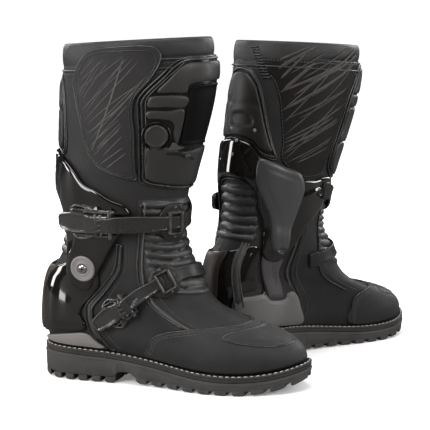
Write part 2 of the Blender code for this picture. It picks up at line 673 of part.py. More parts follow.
def sweep_frame(boot, path, stations):
    c = np.array(path, float)
    q = np.concatenate([[0], np.cumsum(np.linalg.norm(
        np.diff(c[:, :2] * PATCH_SCALE, axis=0), axis=1))])
    q /= q[-1]
    u = np.linspace(0, 1, stations)
    th, t, h = (np.interp(u, q, c[:, i]) for i in range(3))
    if len(c) > 3:
        th, t = (natural_spline(q, c[:, i], u) for i in range(2))
    p, n = skin(t, deg(th), h, boot.lean)
    d = np.gradient(p, axis=0)
    d /= np.linalg.norm(d, axis=1, keepdims=True)
    n = n - d * (n * d).sum(1, keepdims=True)
    n /= np.linalg.norm(n, axis=1, keepdims=True)
    return p, n, d, np.cross(n, d)


def reparent(empty, parent):
    if parent is None:
        return
    world = empty.matrix_world.copy()
    empty.parent = parent
    empty.matrix_parent_inverse = parent.matrix_world.inverted()
    empty.matrix_world = world


UPPER_BUCKLE = dict(
    base=[(130, .542, 6.2), (115, .542, 6.2), (100, .542, 6.2), (84, .542, 6.2)],
    lever=[(140, .540, 9.0), (125, .541, 8.4), (108, .542, 8.4), (86, .542, 8.4)],
    strap=[(96, .542, 14.0), (84, .542, 14.0), (72, .542, 9.8), (60, .542, 7.2),
           (45, .542, 5.6), (26, .544, 5.6)],
    anchor=[(-68, .605, 6.4), (-52, .598, 6.4), (-42, .585, 3.0), (-25, .562, 1.6),
            (0, .546, 1.6), (22, .543, 1.6), (44, .542, 2.2)],
    size=dict(half=13.5, cheek=8.0, strap=8.0, anchor=11.0))
LOWER_BUCKLE = dict(
    base=[(113, .150, 1.0), (106, .190, 1.0), (98, .230, 1.0), (89, .275, 1.0)],
    lever=[(119, .112, 4.0), (110, .168, 3.2), (101, .217, 3.2), (90, .270, 3.2)],
    strap=[(97, .236, 8.8), (89, .275, 8.8), (82, .304, 5.6), (75, .330, 3.8),
           (66, .356, 3.0), (54, .383, 3.0)],
    anchor=[(-80, .315, 0.2), (-66, .345, 0.2), (-40, .385, 0.2), (-12, .405, 0.2),
            (12, .410, 0.2), (36, .402, 0.2), (64, .360, 0.2)],
    size=dict(half=11.5, cheek=8.0, strap=6.8, anchor=9.0))


def build(spec):
    boot = Boot(**spec)
    reparent(boot.ankle, boot.root)
    sole(boot)
    upper(boot)
    counter, cup = heel(boot)
    brace = shaft(boot)
    pivots(boot, brace, counter, cup)
    for tag, b, parent in (("upper", UPPER_BUCKLE, boot.ankle), ("lower", LOWER_BUCKLE, boot.root)):
        buckle(boot, tag, b["base"], b["lever"], b["strap"], b["anchor"], parent, b["size"])
    return boot


boots = [build(RIGHT), build(LEFT)]
# The disc on the outer side of each shin plate.
for boot in boots:
    spot, normal = skin(0.783, deg(53), 4.2, boot.lean)
    turned(boot, "shin_disc_" + boot.side, spot, normal,
           [(0.0, 2.0), (9.5, 2.0), (12.5, 1.4), (13.5, 0.4), (13.5, -0.6), (0.0, -0.6)],
           "grey", boot.ankle, steps=18)
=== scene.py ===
"""Looks of the riding boots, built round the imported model.

Every soft or shaped piece is laid on the same lofted surface as the solids,
in each boot's own frame (mm, X to the toe, Z up, +Y to the outer side).
"""
import math
import bpy
import numpy as np
from mathutils import Matrix, Vector
from mathutils.geometry import delaunay_2d_cdt


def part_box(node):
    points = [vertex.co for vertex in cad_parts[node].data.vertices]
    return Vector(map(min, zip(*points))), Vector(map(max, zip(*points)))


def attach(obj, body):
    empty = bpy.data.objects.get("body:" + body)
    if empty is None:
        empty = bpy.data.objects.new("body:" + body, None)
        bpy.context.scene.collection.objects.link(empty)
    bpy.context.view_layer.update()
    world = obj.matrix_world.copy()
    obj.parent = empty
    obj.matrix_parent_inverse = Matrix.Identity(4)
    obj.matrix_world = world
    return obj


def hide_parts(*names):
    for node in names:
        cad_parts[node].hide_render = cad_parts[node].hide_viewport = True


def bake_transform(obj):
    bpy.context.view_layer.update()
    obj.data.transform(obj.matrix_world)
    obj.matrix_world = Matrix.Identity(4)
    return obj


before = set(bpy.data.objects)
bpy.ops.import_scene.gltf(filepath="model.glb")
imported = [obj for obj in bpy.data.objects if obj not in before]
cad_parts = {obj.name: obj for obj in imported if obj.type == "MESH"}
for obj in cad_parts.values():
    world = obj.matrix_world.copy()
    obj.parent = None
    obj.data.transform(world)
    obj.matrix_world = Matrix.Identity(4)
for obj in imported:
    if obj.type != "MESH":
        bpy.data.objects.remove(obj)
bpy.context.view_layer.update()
MM = 0.001

# ------------------------------------------------------------------ the loft
STATIONS = np.array([
    (0.00, 6, 36, 294, 32, 46, 1.00), (0.06, 2, 52, 291, 41, 50, 1.00),
    (0.12, 1, 69, 282, 50, 50, 0.97), (0.18, 2, 86, 263, 58, 48.5, 0.90),
    (0.24, 4, 101, 236, 67, 46.5, 0.80), (0.30, 8, 114, 207, 79, 45.5, 0.62),
    (0.36, 15, 126, 186, 99, 45.5, 0.45), (0.42, 22, 140, 172, 127, 46, 0.28),
    (0.48, 26, 157, 163, 151, 46, 0.14), (0.55, 25, 179, 162, 179, 47.5, 0.05),
    (0.63, 21, 206, 166, 209, 50, 0.0), (0.72, 22, 239, 175, 244, 53.5, 0.0),
    (0.82, 24, 279, 187, 286, 57.5, 0.0), (0.91, 26, 321, 194, 328, 61, 0.0),
    (1.00, 27, 361, 191, 370, 62, 0.0)], float)
OUTER_OUTLINE = [(0, 0), (20, 25), (42.5, 38), (70, 38), (90, 44), (110, 56),
                 (130, 53), (150, 36.5), (165, 19), (180, 0)]
INNER_OUTLINE = [(0, 0), (20, 24), (42.5, 36), (68, 31.5), (86, 33), (108, 48),
                 (124, 52.5), (140, 47), (155, 32), (168, 15.5), (180, 0)]
OUTLINE_HALF_WIDTH = 56.0
TOE_SHIFT = 8.0
WELT_LINE = [(0, 36.5), (30, 35.5), (70, 34), (110, 31), (150, 26), (190, 21.5),
             (225, 20), (255, 21.5), (280, 25.5), (300, 31), (310, 34)]
TREAD_LINE = [(-8, 6), (12, 1.2), (26, 0), (92, 0), (97, 6), (112, 6.5), (122, 2),
              (200, 0), (238, 0), (265, 3.2), (288, 9), (306, 17)]
ANKLE_OUTER = (62.0, 125.5)
ANKLE_INNER = (65.0, 134.0)
RIGHT = dict(side="R", lat=-1.0, turn=-18.2, x=-207.2, y=-55.8, lean=0.0)
LEFT = dict(side="L", lat=1.0, turn=42.0, x=-26.9, y=-31.5, lean=6.5)
SC = np.array([0.95, 340.0])        # (degree, share) to mm, near enough


def natural_spline(xs, ys, x):
    xs, ys, x = (np.asarray(v, float) for v in (xs, ys, x))
    n, h = len(xs), np.diff(xs)
    a, r = np.zeros((n, n)), np.zeros(n)
    a[0, 0] = a[-1, -1] = 1.0
    for i in range(1, n - 1):
        a[i, i - 1:i + 2] = h[i - 1], 2 * (h[i - 1] + h[i]), h[i]
        r[i] = 3 * ((ys[i + 1] - ys[i]) / h[i] - (ys[i] - ys[i - 1]) / h[i - 1])
    c = np.linalg.solve(a, r)
    i = np.clip(np.searchsorted(xs, x, side="right") - 1, 0, n - 2)
    b = (ys[i + 1] - ys[i]) / h[i] - h[i] * (2 * c[i] + c[i + 1]) / 3
    t = x - xs[i]
    return ys[i] + b * t + c[i] * t * t + (c[i + 1] - c[i]) / (3 * h[i]) * t ** 3


def outline_half(angle, table):
    a = [math.radians(p[0]) for p in table]
    w = [p[1] / OUTLINE_HALF_WIDTH for p in table]
    xs = [-v for v in a[:0:-1]] + a + [2 * math.pi - v for v in a[-2::-1]]
    ys = [-v for v in w[:0:-1]] + w + [-v for v in w[-2::-1]]
    return natural_spline(xs, ys, angle)


def along(table, x):
    return natural_spline([p[0] for p in table], [p[1] for p in table], x)


def loft(t, theta, lean=0.0):
    t, theta = np.broadcast_arrays(np.asarray(t, float), np.asarray(theta, float))
    theta = (theta + math.pi) % (2 * math.pi) - math.pi
    k = STATIONS
    bx, bz, fx, fz, w, m = (natural_spline(k[:, 0], k[:, i], t) for i in range(1, 7))
    m = np.clip(m, 0, 1)
    a = math.pi - np.abs(theta)
    s = (1 - np.cos(a)) / 2
    half = np.where(theta >= 0, outline_half(a, OUTER_OUTLINE), outline_half(a, INNER_OUTLINE))
    y = np.sign(theta) * w * ((1 - m) * np.sin(a) + 1.04 * m * half)
    q = np.clip((s - 0.6) / 0.4, 0, 1)
    y = y - TOE_SHIFT * m * q * q * (3 - 2 * q)
    x = bx + (fx - bx) * s
    z = bz + (fz - bz) * s
    fade = np.clip(1 - t / 0.34, 0, 1) ** 1.5
    z = z + fade * (along(WELT_LINE, 9 + 288 * s) - (36 - 5 * s))
    if lean:
        px, pz = ANKLE_OUTER
        f = np.clip((z - 100 - 0.35 * (x - px)) / 60, 0, 1)
        f = f * f * (3 - 2 * f) * lean
        dx, dz = x - px, z - pz
        x, z = px + dx * np.cos(f) + dz * np.sin(f), pz - dx * np.sin(f) + dz * np.cos(f)
    return np.stack([x, y, z], -1)


def skin(t, theta, height, lean=0.0):
    t, theta = np.broadcast_arrays(np.asarray(t, float), np.asarray(theta, float))
    e = 2e-3
    p = loft(t, theta, lean)
    dt = loft(np.clip(t + e, 0, 1), theta, lean) - loft(np.clip(t - e, 0, 1), theta, lean)
    dh = loft(t, theta + 4 * e, lean) - loft(t, theta - 4 * e, lean)
    n = np.cross(dh, dt)
    n /= np.linalg.norm(n, axis=-1, keepdims=True) + 1e-12
    return p + n * np.asarray(height, float)[..., None], n


def ease(x):
    x = np.clip(x, 0, 1)
    return x * x * (3 - 2 * x)


# ------------------------------------------------------------------ materials
def new_material(name, base, rough, metallic=0.0, coat=0.0, coat_rough=0.05, sheen=0.0,
                 specular=0.5):
    mat = bpy.data.materials.new(name)
    mat.use_nodes = True
    tree = mat.node_tree
    shader = tree.nodes["Principled BSDF"]
    shader.inputs["Base Color"].default_value = (*base, 1.0)
    shader.inputs["Roughness"].default_value = rough
    shader.inputs["Metallic"].default_value = metallic
    shader.inputs["Coat Weight"].default_value = coat
    shader.inputs["Coat Roughness"].default_value = coat_rough
    shader.inputs["Sheen Weight"].default_value = sheen
    shader.inputs["Specular IOR Level"].default_value = specular
    mat.diffuse_color = (*base, 1.0)
    return mat, tree, shader


def node(tree, kind, inputs=None, **attrs):
    made = tree.nodes.new(kind)
    for key, value in attrs.items():
        setattr(made, key, value)
    for key, value in (inputs or {}).items():
        if isinstance(value, bpy.types.NodeSocket):
            tree.links.new(value, made.inputs[key])
        else:
            made.inputs[key].default_value = value
    return made


def coords(tree):
    return node(tree, "ShaderNodeTexCoord").outputs["Object"]


def noise(tree, at, scale, detail=4.0, rough=0.55, distortion=0.0):
    return node(tree, "ShaderNodeTexNoise", {"Vector": at, "Scale": scale, "Detail": detail,
                "Roughness": rough, "Distortion": distortion}).outputs["Fac"]


def remap(tree, value, lo, hi, a, b):
    return node(tree, "ShaderNodeMapRange", {"Value": value, "From Min": lo, "From Max": hi,
                "To Min": a, "To Max": b}).outputs["Result"]


def tint(tree, fac, a, b):
    mix = node(tree, "ShaderNodeMix", data_type="RGBA")
    tree.links.new(fac, mix.inputs["Factor"])
    mix.inputs["A"].default_value = (*a, 1.0)
    mix.inputs["B"].default_value = (*b, 1.0)
    return mix.outputs["Result"]


def blend_colour(tree, fac, a, b):
    mix = node(tree, "ShaderNodeMix", data_type="RGBA")
    tree.links.new(fac, mix.inputs["Factor"])
    tree.links.new(a, mix.inputs["A"])
    mix.inputs["B"].default_value = (*b, 1.0)
    return mix.outputs["Result"]


def maths(tree, op, a, b):
    made = node(tree, "ShaderNodeMath", operation=op)
    for i, v in enumerate((a, b)):
        if isinstance(v, bpy.types.NodeSocket):
            tree.links.new(v, made.inputs[i])
        else:
            made.inputs[i].default_value = v
    return made.outputs[0]


def bump(tree, height, strength, distance, normal=None):
    made = node(tree, "ShaderNodeBump", {"Height": height, "Strength": strength,
                                         "Distance": distance})
    if normal is not None:
        tree.links.new(normal, made.inputs["Normal"])
    return made.outputs["Normal"]


def worn(tree, colour, at, lift, amount=0.5):
    """Edges rubbed lighter, broken up by noise."""
    edge = node(tree, "ShaderNodeNewGeometry").outputs["Pointiness"]
    edge = remap(tree, edge, 0.515, 0.60, 0.0, amount)
    edge = maths(tree, "MULTIPLY", edge, remap(tree, noise(tree, at, 90, 5), 0.35, 0.62, 0.15, 1.0))
    return blend_colour(tree, edge, colour, lift)


def leather(name, base, rough=0.52, grain=850.0, depth=0.00016, sheen=0.0, specular=0.26):
    mat, tree, shader = new_material(name, base, rough, sheen=sheen, specular=specular)
    at = coords(tree)
    cells = node(tree, "ShaderNodeTexVoronoi", {"Vector": at, "Scale": grain, "Randomness": 1.0},
                 feature="DISTANCE_TO_EDGE").outputs["Distance"]
    cells = remap(tree, cells, 0.0, 0.16, 0.0, 1.0)
    fine = noise(tree, at, grain * 2.6, 3.0)
    broad = noise(tree, at, 26, 5.0, 0.6, 0.4)
    folds = noise(tree, at, 95, 4.0, 0.6, 1.2)
    colour = tint(tree, remap(tree, broad, 0.3, 0.7, 0.0, 1.0),
                  [c * 0.78 for c in base], [c * 1.22 for c in base])
    colour = blend_colour(tree, remap(tree, cells, 0.0, 1.0, 0.30, 0.0), colour,
                          [c * 0.45 for c in base])
    colour = worn(tree, colour, at, [min(1.0, c * 2.6) for c in base], 0.45)
    tree.links.new(colour, shader.inputs["Base Color"])
    r = remap(tree, noise(tree, at, 60, 5.0), 0.3, 0.7, rough - 0.08, rough + 0.09)
    tree.links.new(maths(tree, "ADD", r, remap(tree, cells, 0.0, 1.0, 0.10, 0.0)),
                   shader.inputs["Roughness"])
    n = bump(tree, folds, 0.30, 0.0007)
    n = bump(tree, cells, 0.55, depth, n)
    n = bump(tree, fine, 0.25, depth * 0.5, n)
    tree.links.new(n, shader.inputs["Normal"])
    return mat


def plastic(name, base, rough, spread=0.04, grain=2600.0, depth=0.00004, coat=0.0,
            coat_rough=0.06, wear=0.25, lift=2.2, specular=0.5, ripple=0.0):
    mat, tree, shader = new_material(name, base, rough, coat=coat, coat_rough=coat_rough,
                                     specular=specular)
    at = coords(tree)
    broad = noise(tree, at, 20, 4.0)
    colour = tint(tree, remap(tree, broad, 0.3, 0.7, 0.0, 1.0),
                  [c * 0.85 for c in base], [c * 1.15 for c in base])
    colour = worn(tree, colour, at, [min(1.0, c * lift) for c in base], wear)
    tree.links.new(colour, shader.inputs["Base Color"])
    stretched = node(tree, "ShaderNodeMapping", {"Vector": at, "Scale": (1.0, 1.0, 0.12),
                                                  "Rotation": (0.5, 0.3, 0.2)}).outputs["Vector"]
    scuffs = noise(tree, stretched, 700, 3.0, 0.7)
    r = maths(tree, "ADD", remap(tree, noise(tree, at, 45, 5.0), 0.3, 0.7, rough - spread, rough + spread),
              remap(tree, scuffs, 0.60, 0.75, 0.0, spread * 1.5))
    tree.links.new(r, shader.inputs["Roughness"])
    n = bump(tree, noise(tree, at, grain, 2.0), 0.35, depth)
    if ripple:
        n = bump(tree, noise(tree, at, 55, 2.0), 0.25, ripple, n)
    tree.links.new(n, shader.inputs["Normal"])
    return mat


def rubber(name, base, rough=0.72, grain=1500.0, depth=0.00010, dust=0.35):
    mat, tree, shader = new_material(name, base, rough, specular=0.22)
    at = coords(tree)
    broad = noise(tree, at, 35, 6.0, 0.65)
    colour = tint(tree, remap(tree, broad, 0.32, 0.68, 0.0, 1.0),
                  [c * 0.80 for c in base], [c * 1.20 for c in base])
    colour = worn(tree, colour, at, [min(1.0, c * 2.4) for c in base], dust)
    tree.links.new(colour, shader.inputs["Base Color"])
    tree.links.new(remap(tree, noise(tree, at, 80, 4.0), 0.3, 0.7, rough - 0.08, rough + 0.10),
                   shader.inputs["Roughness"])
    n = bump(tree, noise(tree, at, grain, 4.0), 0.5, depth)
    tree.links.new(n, shader.inputs["Normal"])
    return mat


def steel(name, base, rough=0.28):
    mat, tree, shader = new_material(name, base, rough, metallic=1.0)
    at = coords(tree)
    stretched = node(tree, "ShaderNodeMapping", {"Vector": at, "Scale": (1.0, 1.0, 0.06)}).outputs["Vector"]
    lines = noise(tree, stretched, 3000, 3.0, 0.6)
    tree.links.new(tint(tree, remap(tree, noise(tree, at, 200, 5.0), 0.3, 0.7, 0.0, 1.0),
                        [c * 0.80 for c in base], [c * 1.12 for c in base]), shader.inputs["Base Color"])
    tree.links.new(remap(tree, lines, 0.3, 0.7, rough - 0.08, rough + 0.10), shader.inputs["Roughness"])
    tree.links.new(bump(tree, lines, 0.2, 0.00003), shader.inputs["Normal"])
    return mat


def cloth(name, base, rough=0.9, cell=620.0):
    mat, tree, shader = new_material(name, base, rough, sheen=0.35, specular=0.25)
    at = coords(tree)
    holes = node(tree, "ShaderNodeTexVoronoi", {"Vector": at, "Scale": cell, "Randomness": 0.15},
                 feature="F1").outputs["Distance"]
    holes = remap(tree, holes, 0.15, 0.50, 0.0, 1.0)
    tree.links.new(tint(tree, holes, [c * 0.40 for c in base], [c * 1.25 for c in base]),
                   shader.inputs["Base Color"])
    tree.links.new(remap(tree, noise(tree, at, 70, 4.0), 0.3, 0.7, rough - 0.08, rough + 0.06),
                   shader.inputs["Roughness"])
    tree.links.new(bump(tree, holes, 0.8, 0.0004), shader.inputs["Normal"])
    return mat


def thread(name, base, rough=0.65):
    mat, tree, shader = new_material(name, base, rough, sheen=0.2, specular=0.3)
    at = coords(tree)
    twist = node(tree, "ShaderNodeTexWave", {"Vector": at, "Scale": 420.0, "Distortion": 1.5,
                 "Detail": 2.0}, wave_type="BANDS", bands_direction="DIAGONAL").outputs["Fac"]
    tree.links.new(tint(tree, maths(tree, "MULTIPLY", twist, remap(tree, noise(tree, at, 60), 0.3, 0.7, 0.6, 1.0)),
                        [c * 0.55 for c in base], base), shader.inputs["Base Color"])
    tree.links.new(bump(tree, twist, 0.6, 0.0002), shader.inputs["Normal"])
    return mat


M = {
    "leather": leather("leather_black", (0.0135, 0.0125, 0.0122), 0.50, specular=0.22),
    "leather_smooth": leather("leather_collar", (0.0185, 0.0172, 0.0172), 0.42, 1000.0, 0.00010),
    "leather_toe": leather("leather_toe", (0.0160, 0.0149, 0.0147), 0.52, 780.0),
    "bellows": leather("leather_bellows", (0.0170, 0.0158, 0.0152), 0.33, 1100.0, 0.00010, specular=0.55),
    "heat": leather("leather_inner_guard", (0.0040, 0.0029, 0.0023), 0.45, 1300.0, 0.00008, specular=0.16),
    "heat_line": leather("leather_inner_guard_ribs", (0.030, 0.026, 0.0235), 0.48, 1300.0, 0.00008),
    "emboss": leather("leather_embossed_line", (0.047, 0.044, 0.043), 0.46, 1300.0, 0.00006),
    "piping": leather("piping_leather", (0.0085, 0.0078, 0.0074), 0.26, 1300.0, 0.00006, specular=0.6),
    # piping_light: lighter colour along piping and edge lines, a painted highlight
    "piping_light": leather("piping_painted_highlight", (0.046, 0.043, 0.041), 0.30, 1300.0, 0.00006),
    "gloss": plastic("shell_gloss", (0.0045, 0.0036, 0.0031), 0.055, 0.025, 900.0, 0.00001,
                     coat=0.5, coat_rough=0.03, wear=0.12, ripple=0.00006),
    "shell_matt": plastic("shell_satin", (0.0075, 0.0058, 0.0049), 0.50, 0.05, 2600.0, 0.00004, wear=0.3, specular=0.4),
    "plate": plastic("shin_segment", (0.017, 0.0158, 0.0150), 0.44, 0.05, 2400.0, 0.00005, wear=0.35, lift=2.6, specular=0.35),
    "plate_base": plastic("shin_base", (0.0035, 0.0029, 0.0027), 0.26, 0.05, 2400.0, 0.00003, wear=0.1, specular=0.35),
    "grey": plastic("shell_grey", (0.078, 0.073, 0.070), 0.44, 0.05, 2400.0, 0.00005, wear=0.25, lift=1.6, specular=0.4),
    "grey_light": plastic("shell_grey_light", (0.118, 0.110, 0.106), 0.44, 0.05, 2400.0, 0.00005, wear=0.2, lift=1.5, specular=0.4),
    "shell_brown": plastic("shell_brown", (0.0215, 0.0140, 0.0108), 0.48, 0.05, 2400.0, 0.00004, wear=0.2, specular=0.3),
    "grey_dark": plastic("shell_grey_dark", (0.034, 0.031, 0.031), 0.46, 0.05, 2400.0, 0.00005, wear=0.25, lift=1.6, specular=0.35),
    "pad": plastic("ankle_pad_grey", (0.030, 0.030, 0.0305), 0.34, 0.05, 2400.0, 0.00005, wear=0.2, lift=1.7, specular=0.45),
    "washer": plastic("washer_grey", (0.125, 0.113, 0.113), 0.42, 0.05, 2000.0, 0.00005, wear=0.3, lift=1.6, specular=0.4),
    "buckle": plastic("buckle_dark", (0.0150, 0.0138, 0.0133), 0.24, 0.05, 1800.0, 0.00003, coat=0.25,
                      coat_rough=0.12, wear=0.7, lift=6.0),
    "strap": plastic("strap_black", (0.0135, 0.0124, 0.0120), 0.28, 0.05, 2000.0, 0.00003, wear=0.35, lift=5.0),
    "catch": rubber("catch_black", (0.0125, 0.0115, 0.0110), 0.40, 1800.0, 0.00005, 0.3),
    "sole": rubber("sole_rubber", (0.034, 0.0315, 0.030), 0.66),
    "welt": rubber("welt_rubber", (0.020, 0.0188, 0.0180), 0.60),
    "steel": steel("screw_steel", (0.62, 0.60, 0.58), 0.24),
    # recess: near-black satin, painted shade for the sunk well of the shin plate
    "recess": plastic("recess_painted_shade_satin", (0.0020, 0.0014, 0.0012), 0.5, 0.05, 2200.0, 0.00003, wear=0.1, specular=0.10),
    # shadow: near-black rubber, painted shade laid where slots and screw-head crosses would be in shade
    "shadow": rubber("painted_shade_black", (0.006, 0.0055, 0.005), 0.60),
    "lining": cloth("lining_mesh", (0.030, 0.029, 0.029)),
    "thread": thread("thread_light", (0.50, 0.48, 0.44)),
    "thread_dark": thread("thread_dark", (0.050, 0.047, 0.045)),
}


# ----------------------------------------------------------------- geometry
class Boot:
    def __init__(self, side, lat, turn, x, y, lean):
        self.side, self.lat, self.lean = side, lat, math.radians(lean)
        a = math.radians(turn)
        self.rot = np.array([[math.cos(a), -math.sin(a), 0], [math.sin(a), math.cos(a), 0], [0, 0, 1.0]])
        self.at = np.array([x, y, 0.0])
        self.foot, self.shaft = "foot_" + side, "shaft_" + side

    def world(self, p):
        q = np.asarray(p, float) * np.array([1.0, self.lat, 1.0])
        return (q @ self.rot.T + self.at) * MM

    def direction(self, v):
        return (np.asarray(v, float) * np.array([1.0, self.lat, 1.0])) @ self.rot.T

    def on(self, q, h):
        """Points of the outside at (mm round, mm up) and a height."""
        q = np.asarray(q, float)
        return skin(q[:, 1] / SC[1], np.radians(q[:, 0] / SC[0]), np.broadcast_to(h, len(q)), self.lean)[0]


def geo(p, quads=None, tris=None):
    q = np.zeros((0, 4), int) if quads is None or not len(quads) else np.asarray(quads, int)
    t = np.zeros((0, 3), int) if tris is None or not len(tris) else np.asarray(tris, int)
    return [np.asarray(p, float), q, t]


def join(pieces):
    ps, qs, ts, k = [], [], [], 0
    for p, q, t in pieces:
        ps.append(p)
        qs.append(q + k)
        ts.append(t + k)
        k += len(p)
    return [np.concatenate(ps), np.concatenate(qs), np.concatenate(ts)]


def outward(g):
    """Each closed mesh's faces turned out."""
    p, q, t = g
    tri = np.concatenate([q[:, [0, 1, 2]], q[:, [0, 2, 3]], t])
    c = p.mean(0)
    a, b, d = (p[tri[:, i]] - c for i in range(3))
    if np.einsum("ij,ij->i", a, np.cross(b, d)).sum() < 0:
        return [p, q[:, ::-1], t[:, ::-1]]
    return g


def make(boot, name, g, mat, body=None, replaces=(), sharp=40.0, blend=None, fix=True):
    """A piece from boot-frame geometry (one geo, or a list of closed ones)."""
    if isinstance(g[0], list):
        world = join([outward([boot.world(x[0]), x[1], x[2]]) for x in g])
    else:
        world = [boot.world(g[0]), g[1], g[2]]
        world = outward(world) if fix else world
    p, q, t = world
    mesh = bpy.data.meshes.new(name)
    mesh.from_pydata(p.tolist(), [], q.tolist() + t.tolist())
    mesh.validate()
    mesh.update()
    obj = bpy.data.objects.new(name + "_" + boot.side, mesh)
    bpy.context.scene.collection.objects.link(obj)
    mesh.materials.append(M[mat])
    mesh.shade_smooth()
    if sharp < 180:
        mesh.set_sharp_from_angle(angle=math.radians(sharp))
    if replaces:
        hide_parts(*[n + "_" + boot.side for n in replaces])
    if blend:
        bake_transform(obj)
    elif body:
        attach(obj, body)
    return obj


def curve_points(points, closed=False, per=10):
    """A smooth curve through the points."""
    p = np.array(points, float)
    n = len(p)
    out = []
    u = np.linspace(0, 1, per, endpoint=False)[:, None]
    for i in range(n if closed else n - 1):
        p1, p2 = p[i], p[(i + 1) % n]
        p0 = p[i - 1] if closed or i else 2 * p1 - p2
        p3 = p[(i + 2) % n] if closed or i + 2 < n else 2 * p2 - p1
        out.append(0.5 * ((2 * p1) + (p2 - p0) * u + (2 * p0 - 5 * p1 + 4 * p2 - p3) * u ** 2
                          + (3 * p1 - p0 - 3 * p2 + p3) * u ** 3))
    out = np.concatenate(out)
    return out if closed else np.concatenate([out, p[-1:]])


def resample(p, step, closed=False):
    if closed:
        p = np.concatenate([p, p[:1]])
    s = np.concatenate([[0], np.cumsum(np.linalg.norm(np.diff(p, axis=0), axis=1))])
    n = max(4, int(round(s[-1] / step)))
    q = np.linspace(0, s[-1], n, endpoint=not closed)
    return np.stack([np.interp(q, s, p[:, i]) for i in range(p.shape[1])], -1)


def polygon(points, step, corners=False):
    """A closed outline in mm from (degree, share) corners."""
    p = np.array(points, float) * SC
    return resample(p if corners else curve_points(p, True), step, True)


def edge_distance(q, edge):
    """Distance from each point to a closed polyline, and whether it's inside."""
    a, b = edge, np.roll(edge, -1, axis=0)
    dist = np.full(len(q), 1e9)
    inside = np.zeros(len(q), bool)
    for k in range(0, len(q), 4000):
        x = q[k:k + 4000]
        ab = b - a
        f = np.clip(((x[:, None] - a) * ab).sum(-1) / np.maximum((ab ** 2).sum(-1), 1e-12), 0, 1)
        near = a + f[..., None] * ab
        dist[k:k + 4000] = np.sqrt(((x[:, None] - near) ** 2).sum(-1)).min(1)
        crossing = (a[:, 1] > x[:, 1:2]) != (b[:, 1] > x[:, 1:2])
        with np.errstate(divide="ignore", invalid="ignore"):
            xi = a[:, 0] + (x[:, 1:2] - a[:, 1]) * (b[:, 0] - a[:, 0]) / (b[:, 1] - a[:, 1])
        inside[k:k + 4000] = (crossing & (x[:, :1] < xi)).sum(1) % 2 == 1
    return dist, inside


def line_distance(q, line):
    """Distance from each point to an open polyline."""
    a, b = line[:-1], line[1:]
    ab = b - a
    f = np.clip(((q[:, None] - a) * ab).sum(-1) / np.maximum((ab ** 2).sum(-1), 1e-12), 0, 1)
    return np.sqrt(((q[:, None] - (a + f[..., None] * ab)) ** 2).sum(-1)).min(1)


def slab(mapping, outer, low, high, holes=(), res=2.4, edge=1.4, wall=0.35, relief=None):
    """A closed plate: a flat outline with holes, filled with an even mesh,
    laid out by mapping(points, height), with its upper edge rounded."""
    rings = [outer] + [np.asarray(h, float) for h in holes]
    pts, cons = [], []
    for ring in rings:
        k = sum(len(x) for x in pts)
        pts.append(ring)
        cons += [(k + i, k + (i + 1) % len(ring)) for i in range(len(ring))]
    everything = np.concatenate(rings)

    def keep(q, least):
        d, ok = edge_distance(q, rings[0])
        for h in rings[1:]:
            dh, inh = edge_distance(q, h)
            d, ok = np.minimum(d, dh), ok & ~inh
        return q[ok & (d > least)]
    for off in (0.35 * edge, edge, 1.9 * edge):
        for ring in rings:
            d = np.roll(ring, -1, axis=0) - np.roll(ring, 1, axis=0)
            n = np.stack([-d[:, 1], d[:, 0]], -1) / (np.linalg.norm(d, axis=1, keepdims=True) + 1e-9)
            for s in (1, -1):
                pts.append(keep(ring + n * off * s, off * 0.93))
    lo, hi = rings[0].min(0), rings[0].max(0)
    nx, ny = (max(1, int((hi[i] - lo[i]) / res)) for i in (0, 1))
    gx, gy = np.meshgrid(lo[0] + (np.arange(nx) + 0.5) * (hi[0] - lo[0]) / nx,
                         lo[1] + (np.arange(ny) + 0.5) * (hi[1] - lo[1]) / ny)
    gx = gx + ((np.arange(ny) % 2) * 0.5 * (hi[0] - lo[0]) / nx)[:, None]
    grid = keep(np.column_stack([gx.ravel(), gy.ravel()]), 1.9 * edge + 0.45 * res)
    pts.append(grid)
    flat = np.concatenate(pts)
    v2, _, faces, *_ = delaunay_2d_cdt([Vector(v) for v in flat], cons, [], 0, 1e-5)
    uv = np.array([tuple(v) for v in v2])
    tri = np.array([tuple(f) for f in faces], int)
    centre = uv[tri].mean(1)
    _, ok = edge_distance(centre, rings[0])
    for h in rings[1:]:
        ok &= ~edge_distance(centre, h)[1]
    tri = tri[ok]
    used = np.unique(tri)
    back = np.full(len(uv), -1)
    back[used] = np.arange(len(used))
    uv, tri = uv[used], back[tri]
    base = mapping(uv, np.full(len(uv), low))
    fine = mapping(everything, np.full(len(everything), low))
    d3 = np.full(len(uv), 1e9)
    for k in range(0, len(uv), 3000):
        d3[k:k + 3000] = np.sqrt(((base[k:k + 3000, None] - fine) ** 2).sum(-1)).min(1)
    d2 = edge_distance(uv, rings[0])[0]
    for h in rings[1:]:
        d2 = np.minimum(d2, edge_distance(uv, h)[0])
    d3 = np.where(d2 < 1e-4, 0.0, np.maximum(np.minimum(d3, d2 * 2), 0))
    x = np.clip(d3 / edge, 0, 1)
    top = low + (high - low) * (wall + (1 - wall) * np.sqrt(np.maximum(0, 1 - (1 - x) ** 2)))
    if relief is not None:
        top = np.maximum(top + relief(uv, d3) * ease(d3 / edge), low + 0.05)
    up = mapping(uv, top)
    # triangles the same way round
    a, b, c = (uv[tri[:, i]] for i in range(3))
    cross = (b[:, 0] - a[:, 0]) * (c[:, 1] - a[:, 1]) - (b[:, 1] - a[:, 1]) * (c[:, 0] - a[:, 0])
    tri = tri[np.abs(cross) > 1e-9]
    cross = cross[np.abs(cross) > 1e-9]
    tri = np.where(cross[:, None] > 0, tri, tri[:, ::-1])
    e = np.concatenate([tri[:, [0, 1]], tri[:, [1, 2]], tri[:, [2, 0]]])
    key = np.sort(e, axis=1)
    _, first, count = np.unique(key, axis=0, return_index=True, return_counts=True)
    rim = e[first[count == 1]]
    n = len(uv)
    quads = np.column_stack([rim[:, 1], rim[:, 0], rim[:, 0] + n, rim[:, 1] + n])
    return geo(np.concatenate([up, base]), quads, np.concatenate([tri, tri[:, ::-1] + n]))


